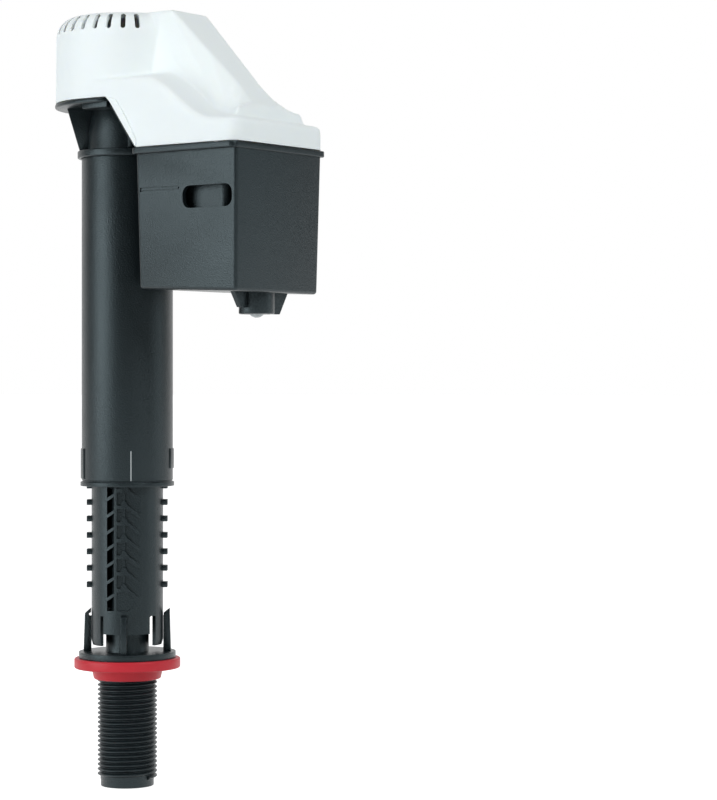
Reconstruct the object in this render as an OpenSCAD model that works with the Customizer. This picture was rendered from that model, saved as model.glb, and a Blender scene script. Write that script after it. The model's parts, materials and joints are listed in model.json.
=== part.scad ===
// Toilet fill valve with a telescoping riser, a twist lock for its height, a float chamber,
// a pilot lever and a vented cap. Millimetres, +Z up. The origin is on the tube axis at the
// underside of the tank washer, and +X points from the tube to the float chamber.

/* [Shank] */
// Crest radius of the shank thread
thread_r = 11.6; // [11.3:0.05:11.65]
// Depth of the thread
thread_depth = 1.1; // [0.8:0.05:1.2]
// Thread pitch, 14 turns to the inch
thread_pitch = 1.814; // [1.7:0.001:1.9]
// Shank length below the tank seat
shank_l = 45.7; // [40:0.1:50]
// Length of the plain end below the thread
plain_l = 2.5; // [2:0.1:4]
// Radius of the water way through the shank
inlet_r = 6.5; // [5.5:0.1:7]
// Radius of the flange that clamps the washer
flange_r = 18.8; // [18:0.1:20]
// Thickness of the flange
flange_t = 2.5; // [2:0.1:3.5]
// Radius of the washer
washer_r = 20.6; // [19.5:0.1:22]
// Thickness of the washer above the tank
washer_t = 3.9; // [3:0.1:5]
// Radius of the washer step that centres in the tank hole
washer_step_r = 13.9; // [13:0.1:14.2]
// Depth of the washer step
washer_step_t = 4.3; // [3:0.1:5]
// Turn of the whole base about the tube axis
base_turn = 37; // [30:1:42]

/* [Riser and sleeve] */
// Outer radius of the riser pipe
riser_r = 8.35; // [8:0.05:8.4]
// Top of the riser pipe
riser_top = 160; // [155:0.5:162]
// Outer radius of the adjusting sleeve
sleeve_r = 13.9; // [13.8:0.05:13.95]
// Wall of the adjusting sleeve
sleeve_wall = 1.6; // [1.4:0.05:1.7]
// Top of the adjusting sleeve
sleeve_top = 165; // [160:0.5:165]
// Spacing of the height notches
peg_pitch = 6.4; // [6.2:0.05:6.5]
// Height of one peg
peg_h = 2.2; // [2:0.1:2.6]
// Reach of the pegs from the axis
peg_r = 15.65; // [15.2:0.05:15.75]
// Number of pegs in each column
peg_count = 20; // [14:1:20]

/* [Outer tube] */
// Outer radius of the tube
tube_r = 17.7; // [17.6:0.05:17.7]
// Wall of the tube
tube_wall = 1.6; // [1.4:0.05:1.6]
// Bottom of the tube
tube_bottom = 70.8; // [70:0.1:71]

/* [Valve head] */
// Radius of the round platform under the cap
platform_r = 28; // [27.8:0.1:28.2]
// Underside of the platform
platform_z = 217.1; // [217:0.1:217.5]
// Thickness of the platform
platform_t = 1.6; // [1.4:0.1:1.8]
// Radius of the collar over the tube
collar_r = 19.3; // [19:0.1:20]

/* [Float chamber] */
// Back of the chamber, from the tube axis
chamber_x0 = 26.9; // [26.6:0.1:27.1]
// Front of the chamber
chamber_x1 = 75.9; // [75.6:0.1:76.1]
// Half width of the chamber
chamber_half = 25.5; // [25.2:0.05:25.7]
// Floor of the chamber, at its back
chamber_floor = 146; // [145.6:0.1:146.4]
// Slope of the chamber floor, down to the front
floor_drop = 1.8; // [1:0.1:2]
// Wall of the chamber
chamber_wall = 2; // [1.6:0.1:2]
// Draft of the chamber walls, from rim to floor
chamber_draft = 1.05; // [0.8:0.05:1.2]
// Water level slot: back end, front end, bottom and top
level_slot = [49.4, 72.6, 175.2, 183.5];
// Centre of the drain nipple, from the tube axis
drain_x = 64.8; // [64:0.1:65]
// Outer radius of the drain nipple
drain_r = 6.7; // [6.4:0.1:7]
// Lower end of the drain nipple
drain_bottom = 136.4; // [135.8:0.1:137]
// Radius of the check ball
ball_r = 3.5; // [3.4:0.05:3.5]

/* [Float and lever] */
// Rise of the float from empty to full
float_rise = 8; // [6:0.5:8]
// Distance of the float rod from the tube axis
rod_x = 34; // [33.8:0.1:34.2]
// Radius of the float rod
rod_r = 1.5; // [1.2:0.1:1.5]
// Distance of the lever pivot from the tube axis
pivot_x = 6; // [5.8:0.1:6.2]
// Height of the lever pivot
pivot_z = 234; // [233.8:0.1:234.2]
// Radius of the pivot pin
pin_r = 1.5; // [1.4:0.05:1.5]

/* [Cap] */
// Top of the cap
cap_top = 252.3; // [252:0.1:253]
// Radius of the round back of the cap at its foot
dome_r = 27.7; // [27.5:0.1:28]
// Wall of the cap
cap_wall = 2; // [1.6:0.1:2.2]
// Front of the cap
cap_front = 76.7; // [76.5:0.1:77]
// Half width of the cap skirt
cap_half = 28; // [27.8:0.1:28.2]
// Number of vent slots
vent_count = 25; // [13:2:25]
// Width of one vent slot
vent_w = 1.55; // [1.2:0.05:1.8]

/* [Hidden] */
$fn = 96;

black_plastic = "#26292b";
dark_rubber = "#1d1e1f";
red_rubber = "#c82c3c";
white_plastic = "#f0f5f6";
clear_grey = "#c4c8ca";
steel = "#b4b8bc";

// Small gap between pieces that move past each other, and the hairline of a push fit
move_gap = 0.3;
push_gap = 0.05;
// Overlap that joins solids of one piece
join = 0.4;

flange_z = washer_t;
flange_top = flange_z + flange_t;
root_r = thread_r - thread_depth;
plain_r = root_r - 0.2;
end_chamfer = 0.8;
washer_bore_r = thread_r + 0.15;
thread_z = plain_l - shank_l;
thread_turns = floor((flange_z - thread_z) / thread_pitch);

// The riser has a shoulder that carries the sleeve's web
shoulder_r = 9.3;
shoulder_z = 19;
web_z = 21;
web_t = 3;

// Fins on the flange, with saw teeth on their inner edge
fin_w = 2.3;
fin_outer_r = 17;
fin_inner_r = sleeve_r + move_gap;
// Height of each fin at its inner and its outer edge
fin_tops = [[21.4, 23.2], [23.3, 21.2], [23.3, 21.2], [23.3, 21.2]];
fin_tooth = 3.1;
fin_tooth_depth = 0.9;

sleeve_in = sleeve_r - sleeve_wall;
leg_bottom = 8.5;
tongue_bottom = 12.9;
finger_slot_top = 20.8;
// Slots beside the two tongues: middle and half width, in degrees
finger_slots = [[-138.7, 9], [-40.95, 5.75]];
tongue_turn = -91;
tongue_half = 55;
peg_w = 4.4;
peg_first_z = 32.4;

// Windows down the front and back of the sleeve, in rows at the notch spacing
window_first_z = 28;
window_rows = 20;
window_h = 5.1;
window_rise = 2;
window_fall = 4;
left_window = [-7.05, -4.16];
right_window = [-1.5, 6.2];
right_window_z = 2.9;

tube_in = tube_r - tube_wall;
tube_top = 204;
tube_band_r = tube_r + 0.5;
tube_band_h = 1.6;
pad_r = tube_r + 0.4;
pad_top = 85.4;
pad_bottoms = [73, 77.6];
pad_half_angle = 22;
pad_turn = 221;
// Lock ribs sit between peg rows, a sixth of a turn behind the pegs
lock_turn = 60;
lock_rib_h = 3.2;
lock_rib_r = sleeve_r + 0.5;
lock_rows = [7, 9, 11];

pipe_in = riser_r + 0.35;
pipe_r = 10.2;
gland_r = sleeve_in - 0.4;
gland_bottom = 70;
gland_top = 78;
seal_z = 72;
seal_h = 4;
seal_groove_r = 10.9;
seat_z = 222;
seat_shoulder_r = 11.8;

platform_top = platform_z + platform_t;
collar_z = 197.9;
collar_h = 2.8;
neck_r0 = 18.4;
neck_r1 = 23.3;
socket_r = tube_r + push_gap;
hub_r = 12;
spoke_w = 3;
cup_r = 20.2;
cup_in = 16.5;
cup_top = 226;
rim_bottom = 196.4;
rim_top = 198.7;
// Bridge from the platform down to the chamber rim, in side view: its upper and lower face
bridge_line = [[13.3, platform_top], [15.8, 216.2], [24.4, 204.3], [28.6, rim_top]];
bridge_under = [[26.2, rim_top], [22.4, 203], [14, 214.8], [11.5, platform_z]];
gusset_y = 11;
gusset_w = 2;
// Straight ledges under the two sides of the platform
ledge_x = [-3, 13.2];
ledge_y = [19, 26.4];
ledge_t = 2;

rim_x0 = 26;
rim_half = 28;
rim_corner = 3;
drain_in = 4.6;
drain_hole_r = 2.8;
// Gussets of the drain nipple, one side each: reach at the foot, reach at the top and foot height
drain_gussets = [[-10.4, -14.6, 2.4], [12.6, 17.8, 0.2]];
gusset_root = 5.6;
slot_corner = 3.2;

ball_drop = 1.3;
ball_z = drain_bottom + ball_r - ball_drop;
retainer_h = 1.2;
ball_lip_r = 3;

spigot_r = 3.2;
spigot_bore_r = 2;
spigot_root_r = 4.5;
spigot_z = 208;
spigot_root_y = 18;
spigot_y = 25;
spigot_tip_y = 36;
spigot_chamfer = 0.6;

diaphragm_r = 15.9;
diaphragm_t = 2;
diaphragm_z = 223.6;
poppet_plate_r = 8.2;
poppet_plate_t = 1.8;
poppet_stem_r = 2.2;
poppet_top = 230.7;
poppet_guide_l = 9;
ring_seal_r = 18.3;
ring_seal_half = 0.55;
bonnet_t = 3;
bonnet_top = cup_top + bonnet_t;
post_gap = 3.8;
post_t = 2.5;
post_w = 6;

lever_tilt = asin(float_rise / 2 / (rod_x - pivot_x));
lever_arm = (rod_x - pivot_x) / cos(lever_tilt);
lever_half = 3.5;
lever_t = 3;
lever_hub_r = 3;
lever_eye_r = 4.5;
lever_hole_r = 2.25;
pad_arm = pivot_x / cos(lever_tilt);
pilot_r = 2.5;
pilot_t = 1.4;
lever_end_z = pivot_z - float_rise / 2;
collar_gap = 2.35;
clip_t = 1.2;
clip_r = 3;

float_x = [30.8, 67.4];
float_half = 20.5;
float_z = [150.5, 188.5];
float_corner = 3;
rod_bottom = 158;

cap_gap = 0.3;
// Lower edge of the cap beside the bridge, in side view
cap_edge = [for (i = [3:-1:0]) bridge_line[i] + [0.4, cap_gap]];
cap_fillet = 8;
dome_taper = 0.3;
shelf_z = 208;
step_z = 213.6;
step_inset = 5.2;
skirt_corner = 6;
cheek_z = 225.6;
cheek_x = [31, 66];
// Back of the ridge in side view, and half its width at the first two and the last point
ridge_line = [[31.1, cap_top], [62.5, 221], [66.5, 217.4], [70.5, 215.2]];
ridge_half = [12, 8.5, 12.5];
vent_bottom = 245.2;
vent_top = 251.2;
vent_pitch = 11.67;

// A ring of one wall, standing on z
module pipe(outer, inner, z, h) {
    translate([0, 0, z])
        difference() {
            cylinder(r = outer, h = h);
            translate([0, 0, -1]) cylinder(r = inner, h = h + 2);
        }
}

// A pie slice about Z, from -half to +half degrees
module wedge(r, half, z, h) {
    translate([0, 0, z])
        linear_extrude(h)
            polygon([[0, 0], [r * cos(half), -r * sin(half)], [r / cos(half / 2), 0],
                [r * cos(half), r * sin(half)]]);
}

// A rectangle with round corners, given by its two corners
module round_rect(low, high, r) {
    hull()
        for (x = [low.x + r, high.x - r], y = [low.y + r, high.y - r])
            translate([x, y]) circle(r, $fn = 32);
}

// A flat shape drawn in XZ and made thick along Y, centred
module side_plate(thickness) {
    rotate([90, 0, 0])
        translate([0, 0, -thickness / 2])
            linear_extrude(thickness) children();
}

// One turn of thread as seen in the turning profile
function thread_turn(i) = let (z = thread_z + i * thread_pitch)
    [[root_r, z + 0.1 * thread_pitch], [thread_r, z + 0.4 * thread_pitch],
        [thread_r, z + 0.6 * thread_pitch], [root_r, z + 0.9 * thread_pitch]];

function joined(lists) = [for (list = lists) each list];

module shank_turning() {
    rotate_extrude()
        polygon(concat(
            [[inlet_r, -shank_l], [plain_r - end_chamfer, -shank_l],
                [plain_r, end_chamfer - shank_l], [plain_r, thread_z], [root_r, thread_z]],
            joined([for (i = [0:thread_turns - 1]) thread_turn(i)]),
            [[root_r, flange_z], [flange_r - join, flange_z], [flange_r, flange_z + join],
                [flange_r, flange_top - join], [flange_r - join, flange_top],
                [riser_r, flange_top], [riser_r, shoulder_z], [shoulder_r, shoulder_z + 1],
                [shoulder_r, web_z], [riser_r, web_z], [riser_r, riser_top],
                [inlet_r, riser_top]]));
}

module fin(tops) {
    rotate([90, 0, 0])
        translate([0, 0, -fin_w / 2])
            linear_extrude(fin_w)
                polygon(concat(
                    [[fin_outer_r, flange_top - join], [fin_outer_r - 0.5, tops[1]],
                        [fin_inner_r, tops[0]]],
                    joined([for (i = [0:3]) let (z = tops[0] - 2 - i * fin_tooth)
                        [[fin_inner_r, z], [fin_inner_r + fin_tooth_depth, z - 0.2]]]),
                    [[fin_inner_r, flange_top - join]]));
}

module threaded_shank() {
    color(black_plastic) {
        shank_turning();
        for (i = [0:3])
            rotate([0, 0, base_turn + 90 * i]) fin(fin_tops[i]);
    }
}

module shank_washer() {
    color(red_rubber)
        rotate_extrude()
            polygon([[washer_bore_r, -washer_step_t], [washer_step_r - 1, -washer_step_t],
                [washer_step_r, 0], [washer_r - join, 0], [washer_r, join],
                [washer_r, washer_t - join], [washer_r - join, washer_t],
                [washer_bore_r, washer_t]]);
}

// Slanted window cut through the front wall of the sleeve, between two sideways places
module sleeve_window(sides, z, rise) {
    rotate([90, 0, 0])
        linear_extrude(sleeve_r + 1)
            polygon([[sides[0], z], [sides[1], z + rise],
                [sides[1], z + rise + window_h], [sides[0], z + window_h]]);
}

module adjusting_sleeve() {
    color(black_plastic)
        rotate([0, 0, base_turn]) {
            difference() {
                rotate_extrude()
                    polygon([[sleeve_r - 0.5, leg_bottom], [sleeve_r, leg_bottom + 2],
                        [sleeve_r, sleeve_top], [sleeve_in, sleeve_top],
                        [sleeve_in, web_z + web_t], [riser_r + push_gap, web_z + web_t],
                        [riser_r + push_gap, web_z], [sleeve_in, web_z],
                        [sleeve_in, leg_bottom]]);
                for (side = [0, 180])
                    rotate([0, 0, side]) {
                        rotate([0, 0, tongue_turn])
                            wedge(2 * sleeve_r, tongue_half, leg_bottom - 1,
                                tongue_bottom - leg_bottom + 1);
                        for (slot = finger_slots)
                            rotate([0, 0, slot[0]])
                                wedge(2 * sleeve_r, slot[1], leg_bottom - 1,
                                    finger_slot_top - leg_bottom + 1);
                        for (row = [0:window_rows - 1]) {
                            z = window_first_z + row * peg_pitch;
                            sleeve_window(left_window, z, window_rise);
                            sleeve_window(right_window, z + right_window_z, -window_fall);
                        }
                    }
            }
            for (side = [0, 180], row = [0:peg_count - 1])
                rotate([0, 0, side])
                    translate([sleeve_r - 1, -peg_w / 2, peg_first_z + row * peg_pitch - peg_h / 2])
                        cube([peg_r - sleeve_r + 1, peg_w, peg_h]);
        }
}

module riser_seal() {
    color(dark_rubber)
        pipe(seal_groove_r - move_gap, riser_r + 0.2, seal_z + move_gap, seal_h - 2 * move_gap);
}

// One raised patch on the outside of the tube
module tube_pad(bottom) {
    intersection() {
        pipe(pad_r, tube_r - join, bottom, pad_top - bottom);
        wedge(2 * tube_r, pad_half_angle, bottom, pad_top - bottom);
    }
}

// One rib inside the tube that turns in between two pegs
module lock_rib(row) {
    z = peg_first_z + (row + 0.5) * peg_pitch - lock_rib_h / 2;
    intersection() {
        pipe(tube_in + join, lock_rib_r, z, lock_rib_h);
        wedge(2 * tube_r, 9, z, lock_rib_h);
    }
}

module outer_tube() {
    color(black_plastic) {
        rotate_extrude()
            polygon([[tube_in, tube_bottom], [tube_band_r - join, tube_bottom],
                [tube_band_r, tube_bottom + join], [tube_band_r, tube_bottom + tube_band_h - join],
                [tube_band_r - join, tube_bottom + tube_band_h], [tube_r, tube_bottom + tube_band_h],
                [tube_r, tube_top], [tube_in, tube_top]]);
        for (i = [0, 1])
            rotate([0, 0, pad_turn + 180 * i]) tube_pad(pad_bottoms[i]);
        for (side = [0, 180], row = lock_rows)
            rotate([0, 0, base_turn - lock_turn + side]) lock_rib(row);
    }
}

module supply_pipe() {
    color(black_plastic)
        rotate_extrude()
            polygon([[pipe_in, gland_bottom], [gland_r, gland_bottom], [gland_r, gland_top],
                [pipe_r, gland_top + gland_r - pipe_r], [pipe_r, platform_top],
                [seat_shoulder_r, platform_top], [seat_shoulder_r, platform_top + 1],
                [pipe_r, platform_top + 1], [pipe_r - join, seat_z], [pipe_in, seat_z],
                [pipe_in, seal_z + seal_h], [seal_groove_r, seal_z + seal_h],
                [seal_groove_r, seal_z], [pipe_in, seal_z]]);
}

// Plan of the platform: round at the back, straight sided to the bridge
module platform_plan() {
    circle(platform_r);
    translate([0, -platform_r]) square([bridge_line[0].x, 2 * platform_r]);
}

module head_bridge() {
    side_plate(2 * platform_r)
        polygon(concat(bridge_line, bridge_under));
    for (y = [-gusset_y, gusset_y])
        translate([0, y, 0])
            side_plate(gusset_w)
                polygon([[bridge_under[3].x, platform_z + join],
                    [bridge_under[2].x + join, bridge_under[2].y],
                    [bridge_under[1].x + join, bridge_under[1].y], [neck_r0 - 3, rim_top + 6]]);
}

module valve_head() {
    color(black_plastic)
        difference() {
            union() {
                rotate_extrude()
                    polygon([[tube_in, collar_z], [collar_r, collar_z],
                        [collar_r, collar_z + collar_h], [neck_r0, collar_z + collar_h],
                        [neck_r1, platform_z + join], [tube_in, platform_z + join]]);
                translate([0, 0, platform_z])
                    linear_extrude(platform_t)
                        difference() {
                            platform_plan();
                            circle(tube_in);
                        }
                translate([0, 0, platform_z])
                    linear_extrude(platform_t)
                        difference() {
                            union() {
                                circle(hub_r);
                                for (turn = [0, 90])
                                    rotate(turn) square([2 * tube_in + 2, spoke_w], center = true);
                            }
                            circle(pipe_r + push_gap);
                        }
                pipe(cup_r, cup_in, platform_top - join, cup_top - platform_top + join);
                head_bridge();
                for (y = [-ledge_y[1], ledge_y[0]])
                    translate([ledge_x[0], y, platform_z - ledge_t])
                        cube([ledge_x[1] - ledge_x[0], ledge_y[1] - ledge_y[0], ledge_t + join]);
            }
            translate([0, 0, collar_z - 1]) cylinder(r = socket_r, h = tube_top - collar_z + 1);
            translate([0, 0, tube_top - 1]) cylinder(r = tube_in, h = platform_z - tube_top + 1);
            translate([0, 0, cup_top - 2 * ring_seal_half])
                pipe(ring_seal_r + ring_seal_half + push_gap, ring_seal_r - ring_seal_half - push_gap,
                    0, 3);
            translate([0, spigot_root_y - 4, spigot_z])
                rotate([-90, 0, 0]) cylinder(r = spigot_root_r, h = 20);
        }
}

module refill_nipple() {
    color(black_plastic)
        translate([0, 0, spigot_z])
            rotate([-90, 0, 0])
                rotate_extrude()
                    polygon([[spigot_bore_r, spigot_root_y], [spigot_root_r, spigot_root_y],
                        [spigot_root_r, spigot_y], [spigot_r, spigot_y],
                        [spigot_r, spigot_tip_y - spigot_chamfer],
                        [spigot_r - spigot_chamfer, spigot_tip_y], [spigot_bore_r, spigot_tip_y]]);
}

// Tapering box of the chamber, pulled in all round by an inset, with its floor lifted by a lift
module chamber_box(inset, lift, top) {
    foot = inset + chamber_draft;
    intersection() {
        side_plate(4 * chamber_half)
            polygon([[chamber_x0 + inset, top], [chamber_x1 - inset, top],
                [chamber_x1 - foot, chamber_floor - floor_drop + lift],
                [chamber_x0 + foot, chamber_floor + lift]]);
        rotate([90, 0, 90])
            linear_extrude(2 * chamber_x1)
                polygon([[inset - chamber_half, top], [chamber_half - inset, top],
                    [chamber_half - foot, chamber_floor - floor_drop],
                    [foot - chamber_half, chamber_floor - floor_drop]]);
    }
}

module drain_webs() {
    top = chamber_floor - floor_drop + 1;
    for (gusset = drain_gussets)
        translate([drain_x, 0, 0])
            rotate([90, 0, 90])
                translate([0, 0, -1])
                    linear_extrude(2)
                        polygon([[sign(gusset[0]) * gusset_root, drain_bottom + gusset[2]],
                            [gusset[0], drain_bottom + gusset[2]], [gusset[1], top],
                            [sign(gusset[0]) * gusset_root, top]]);
}

module float_chamber() {
    color(black_plastic)
        difference() {
            union() {
                chamber_box(0, 0, rim_top);
                translate([0, 0, rim_bottom])
                    linear_extrude(rim_top - rim_bottom)
                        round_rect([rim_x0, -rim_half], [cap_front, rim_half], rim_corner);
                translate([drain_x, 0, drain_bottom])
                    cylinder(r = drain_r, h = chamber_floor - drain_bottom);
                drain_webs();
            }
            chamber_box(chamber_wall, chamber_wall, rim_top + 2);
            translate([drain_x, 0, drain_bottom - 1])
                cylinder(r = drain_in, h = chamber_floor - floor_drop - drain_bottom + 0.7);
            translate([drain_x, 0, drain_bottom])
                cylinder(r = drain_hole_r, h = 20);
            translate([0, -chamber_half + 6, 0])
                rotate([90, 0, 0])
                    linear_extrude(10)
                        round_rect([level_slot[0], level_slot[2]], [level_slot[1], level_slot[3]],
                            slot_corner);
        }
}

module ball_retainer() {
    color(black_plastic)
        translate([drain_x, 0, drain_bottom])
            rotate_extrude()
                polygon([[ball_lip_r, 0], [drain_in, 0], [drain_in, retainer_h],
                    [ball_lip_r + 0.75, retainer_h]]);
}

module check_ball() {
    color(clear_grey)
        translate([drain_x, 0, ball_z]) sphere(r = ball_r);
}

module diaphragm() {
    color(dark_rubber)
        pipe(diaphragm_r, poppet_stem_r + 0.6, diaphragm_z, diaphragm_t);
}

module valve_poppet() {
    color(white_plastic) {
        translate([0, 0, diaphragm_z - poppet_plate_t]) cylinder(r = poppet_plate_r, h = poppet_plate_t);
        translate([0, 0, diaphragm_z - join]) cylinder(r = poppet_stem_r + 0.6, h = diaphragm_t + join);
        translate([0, 0, diaphragm_z]) cylinder(r = poppet_stem_r, h = poppet_top - diaphragm_z);
        for (i = [0:2])
            rotate([0, 0, 120 * i])
                translate([0, -0.8, diaphragm_z - poppet_plate_t - poppet_guide_l])
                    cube([poppet_plate_r - 0.3, 1.6, poppet_guide_l + join]);
    }
}

module bonnet_seal() {
    color(dark_rubber)
        translate([0, 0, cup_top - ring_seal_half])
            rotate_extrude() translate([ring_seal_r, 0]) circle(ring_seal_half, $fn = 24);
}

module valve_bonnet() {
    color(black_plastic)
        difference() {
            union() {
                translate([0, 0, cup_top]) cylinder(r = cup_r, h = bonnet_t);
                for (side = [-1, 1])
                    translate([pivot_x, side * (post_gap + post_t / 2), bonnet_top - join]) {
                        translate([-post_w / 2, -post_t / 2, 0])
                            cube([post_w, post_t, pivot_z - bonnet_top + join]);
                        translate([0, post_t / 2, pivot_z - bonnet_top + join])
                            rotate([90, 0, 0]) cylinder(r = post_w / 2, h = post_t);
                    }
            }
            translate([0, 0, cup_top - 1]) cylinder(r = poppet_stem_r + 0.4, h = bonnet_t + 2);
            translate([pivot_x, 20, pivot_z]) rotate([90, 0, 0]) cylinder(r = pin_r, h = 40);
        }
}

module pivot_pin() {
    pin_half = post_gap + post_t;
    color(steel)
        translate([pivot_x, pin_half, pivot_z]) rotate([90, 0, 0]) cylinder(r = pin_r, h = 2 * pin_half);
}

module lever() {
    color(black_plastic)
        translate([pivot_x, 0, pivot_z])
            rotate([0, lever_tilt, 0])
                difference() {
                    union() {
                        translate([-pad_arm - lever_half, -lever_half, -lever_t / 2])
                            cube([pad_arm + lever_half + lever_arm, 2 * lever_half, lever_t]);
                        translate([0, lever_half, 0])
                            rotate([90, 0, 0]) cylinder(r = lever_hub_r, h = 2 * lever_half);
                        translate([lever_arm, 0, -lever_t / 2]) cylinder(r = lever_eye_r, h = lever_t);
                    }
                    translate([0, 20, 0]) rotate([90, 0, 0]) cylinder(r = pin_r + push_gap, h = 40);
                    translate([lever_arm, 0, -5]) cylinder(r = lever_hole_r, h = 10);
                }
}

module pilot_pad() {
    color(dark_rubber)
        translate([pivot_x, 0, pivot_z])
            rotate([0, lever_tilt, 0])
                translate([-pad_arm, 0, -lever_t / 2 - pilot_t]) cylinder(r = pilot_r, h = pilot_t);
}

module chamber_float() {
    color(black_plastic)
        difference() {
            translate([0, 0, float_z[0]])
                linear_extrude(float_z[1] - float_z[0])
                    round_rect([float_x[0], -float_half], [float_x[1], float_half], float_corner);
            translate([rod_x, 0, rod_bottom]) cylinder(r = rod_r, h = float_z[1] - rod_bottom + 1);
        }
}

module float_rod() {
    color(clear_grey) {
        translate([rod_x, 0, rod_bottom])
            cylinder(r = rod_r, h = lever_end_z + collar_gap + clip_t + 0.7 - rod_bottom);
        translate([rod_x, 0, lever_end_z - collar_gap - 2]) cylinder(r = clip_r, h = 2);
        translate([rod_x, 0, float_z[1]]) cylinder(r = clip_r, h = 2);
    }
}

module rod_clip() {
    color(steel)
        translate([rod_x, 0, 0]) pipe(clip_r, rod_r, lever_end_z + collar_gap, clip_t);
}

// Height of the cheek beside the ridge: high by the dome, easing down to the front shelf
function cheek(x) = let (u = min(1, max(0, (x - cheek_x[0]) / (cheek_x[1] - cheek_x[0]))))
    shelf_z + (cheek_z - shelf_z) * (1 + cos(180 * u)) / 2;

function cheek_line(low, drop) = [for (i = [0:12])
    let (x = cheek_x[0] + i / 12 * (cheek_x[1] - cheek_x[0])) [x, max(low, cheek(x)) - drop]];

// Side view of the part of the cap beside the ridge, down to its lower edge
module cheek_side(front, low, inset) {
    foot = inset > 0 ? 1 : 0;
    polygon(concat(
        [[-1, cheek_z - inset]], cheek_line(low, inset), [[front - inset, max(low, shelf_z) - inset],
            [front - inset, rim_top + cap_gap - foot]],
        [for (point = cap_edge) point - [foot, foot]],
        [[-1, platform_top + cap_gap - foot]]));
}

module ridge_side(inset) {
    slope_shift = inset * 1.4;
    foot_x = ridge_line[3].x - slope_shift;
    polygon([[-10, cap_top - inset], [ridge_line[0].x - slope_shift / 2, cap_top - inset],
        ridge_line[1] - [slope_shift, 0], ridge_line[2] - [slope_shift, 0], [foot_x, ridge_line[3].y],
        [foot_x, shelf_z - 2], [ridge_line[0].x + 10, shelf_z - 2],
        [ridge_line[0].x - 4, cheek_z - 3.5], [-10, cheek_z - 3.5]]);
}

// Outer shape of the cap, pulled in all over by an inset
module cap_form(inset) {
    foot = inset > 0 ? 1 : 0;
    fillet = cap_fillet - inset;
    rim_r = dome_r - dome_taper - inset;
    rotate_extrude()
        polygon(concat(
            [[0, platform_top + cap_gap - foot], [dome_r - inset, platform_top + cap_gap - foot]],
            [for (a = [0:10:90]) [rim_r - fillet + fillet * cos(a),
                cap_top - inset - fillet + fillet * sin(a)]],
            [[0, cap_top - inset]]));
    intersection() {
        side_plate(2 * (cap_half - inset)) cheek_side(cap_front, 0, inset);
        translate([0, 0, 190])
            linear_extrude(80)
                round_rect([-40, inset - cap_half], [cap_front - inset, cap_half - inset],
                    skirt_corner - inset);
    }
    side_plate(2 * (cap_half - step_inset - inset)) cheek_side(cap_front - step_inset, step_z, inset);
    intersection() {
        side_plate(3 * ridge_half[0]) ridge_side(inset);
        translate([0, 0, 190])
            linear_extrude(80)
                for (side = [0, 1])
                    mirror([0, side])
                        polygon([[-12, -1], [-12, ridge_half[0] - inset],
                            [ridge_line[0].x, ridge_half[0] - inset],
                            [ridge_line[1].x, ridge_half[1] - inset],
                            [ridge_line[3].x, ridge_half[2] - inset], [ridge_line[3].x, -1]]);
    }
}

module vent_slots() {
    for (i = [0:vent_count - 1])
        rotate([0, 0, 180 + vent_pitch * (i - (vent_count - 1) / 2)])
            translate([dome_r - 9, -vent_w / 2, vent_bottom])
                cube([12, vent_w, vent_top - vent_bottom]);
}

module cap() {
    color(white_plastic)
        difference() {
            cap_form(0);
            cap_form(cap_wall);
            vent_slots();
        }
}

threaded_shank();
shank_washer();
adjusting_sleeve();
riser_seal();
outer_tube();
supply_pipe();
valve_head();
refill_nipple();
float_chamber();
ball_retainer();
check_ball();
diaphragm();
valve_poppet();
bonnet_seal();
valve_bonnet();
pivot_pin();
lever();
pilot_pad();
chamber_float();
float_rod();
rod_clip();
cap();
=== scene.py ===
"""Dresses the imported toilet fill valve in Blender.

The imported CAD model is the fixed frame. Each sub-assembly below builds the pieces that show on
the outside, with rounded edges, a true thread and moulded relief. The inner pieces keep their CAD
shape under a finish. Sizes are millimetres in the CAD frame unless a name says otherwise.
"""

import json
import logging
import math
from dataclasses import dataclass
from enum import Enum
from typing import Callable, Iterable, Sequence

import bmesh
import bpy
from mathutils import Matrix, Vector

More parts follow.
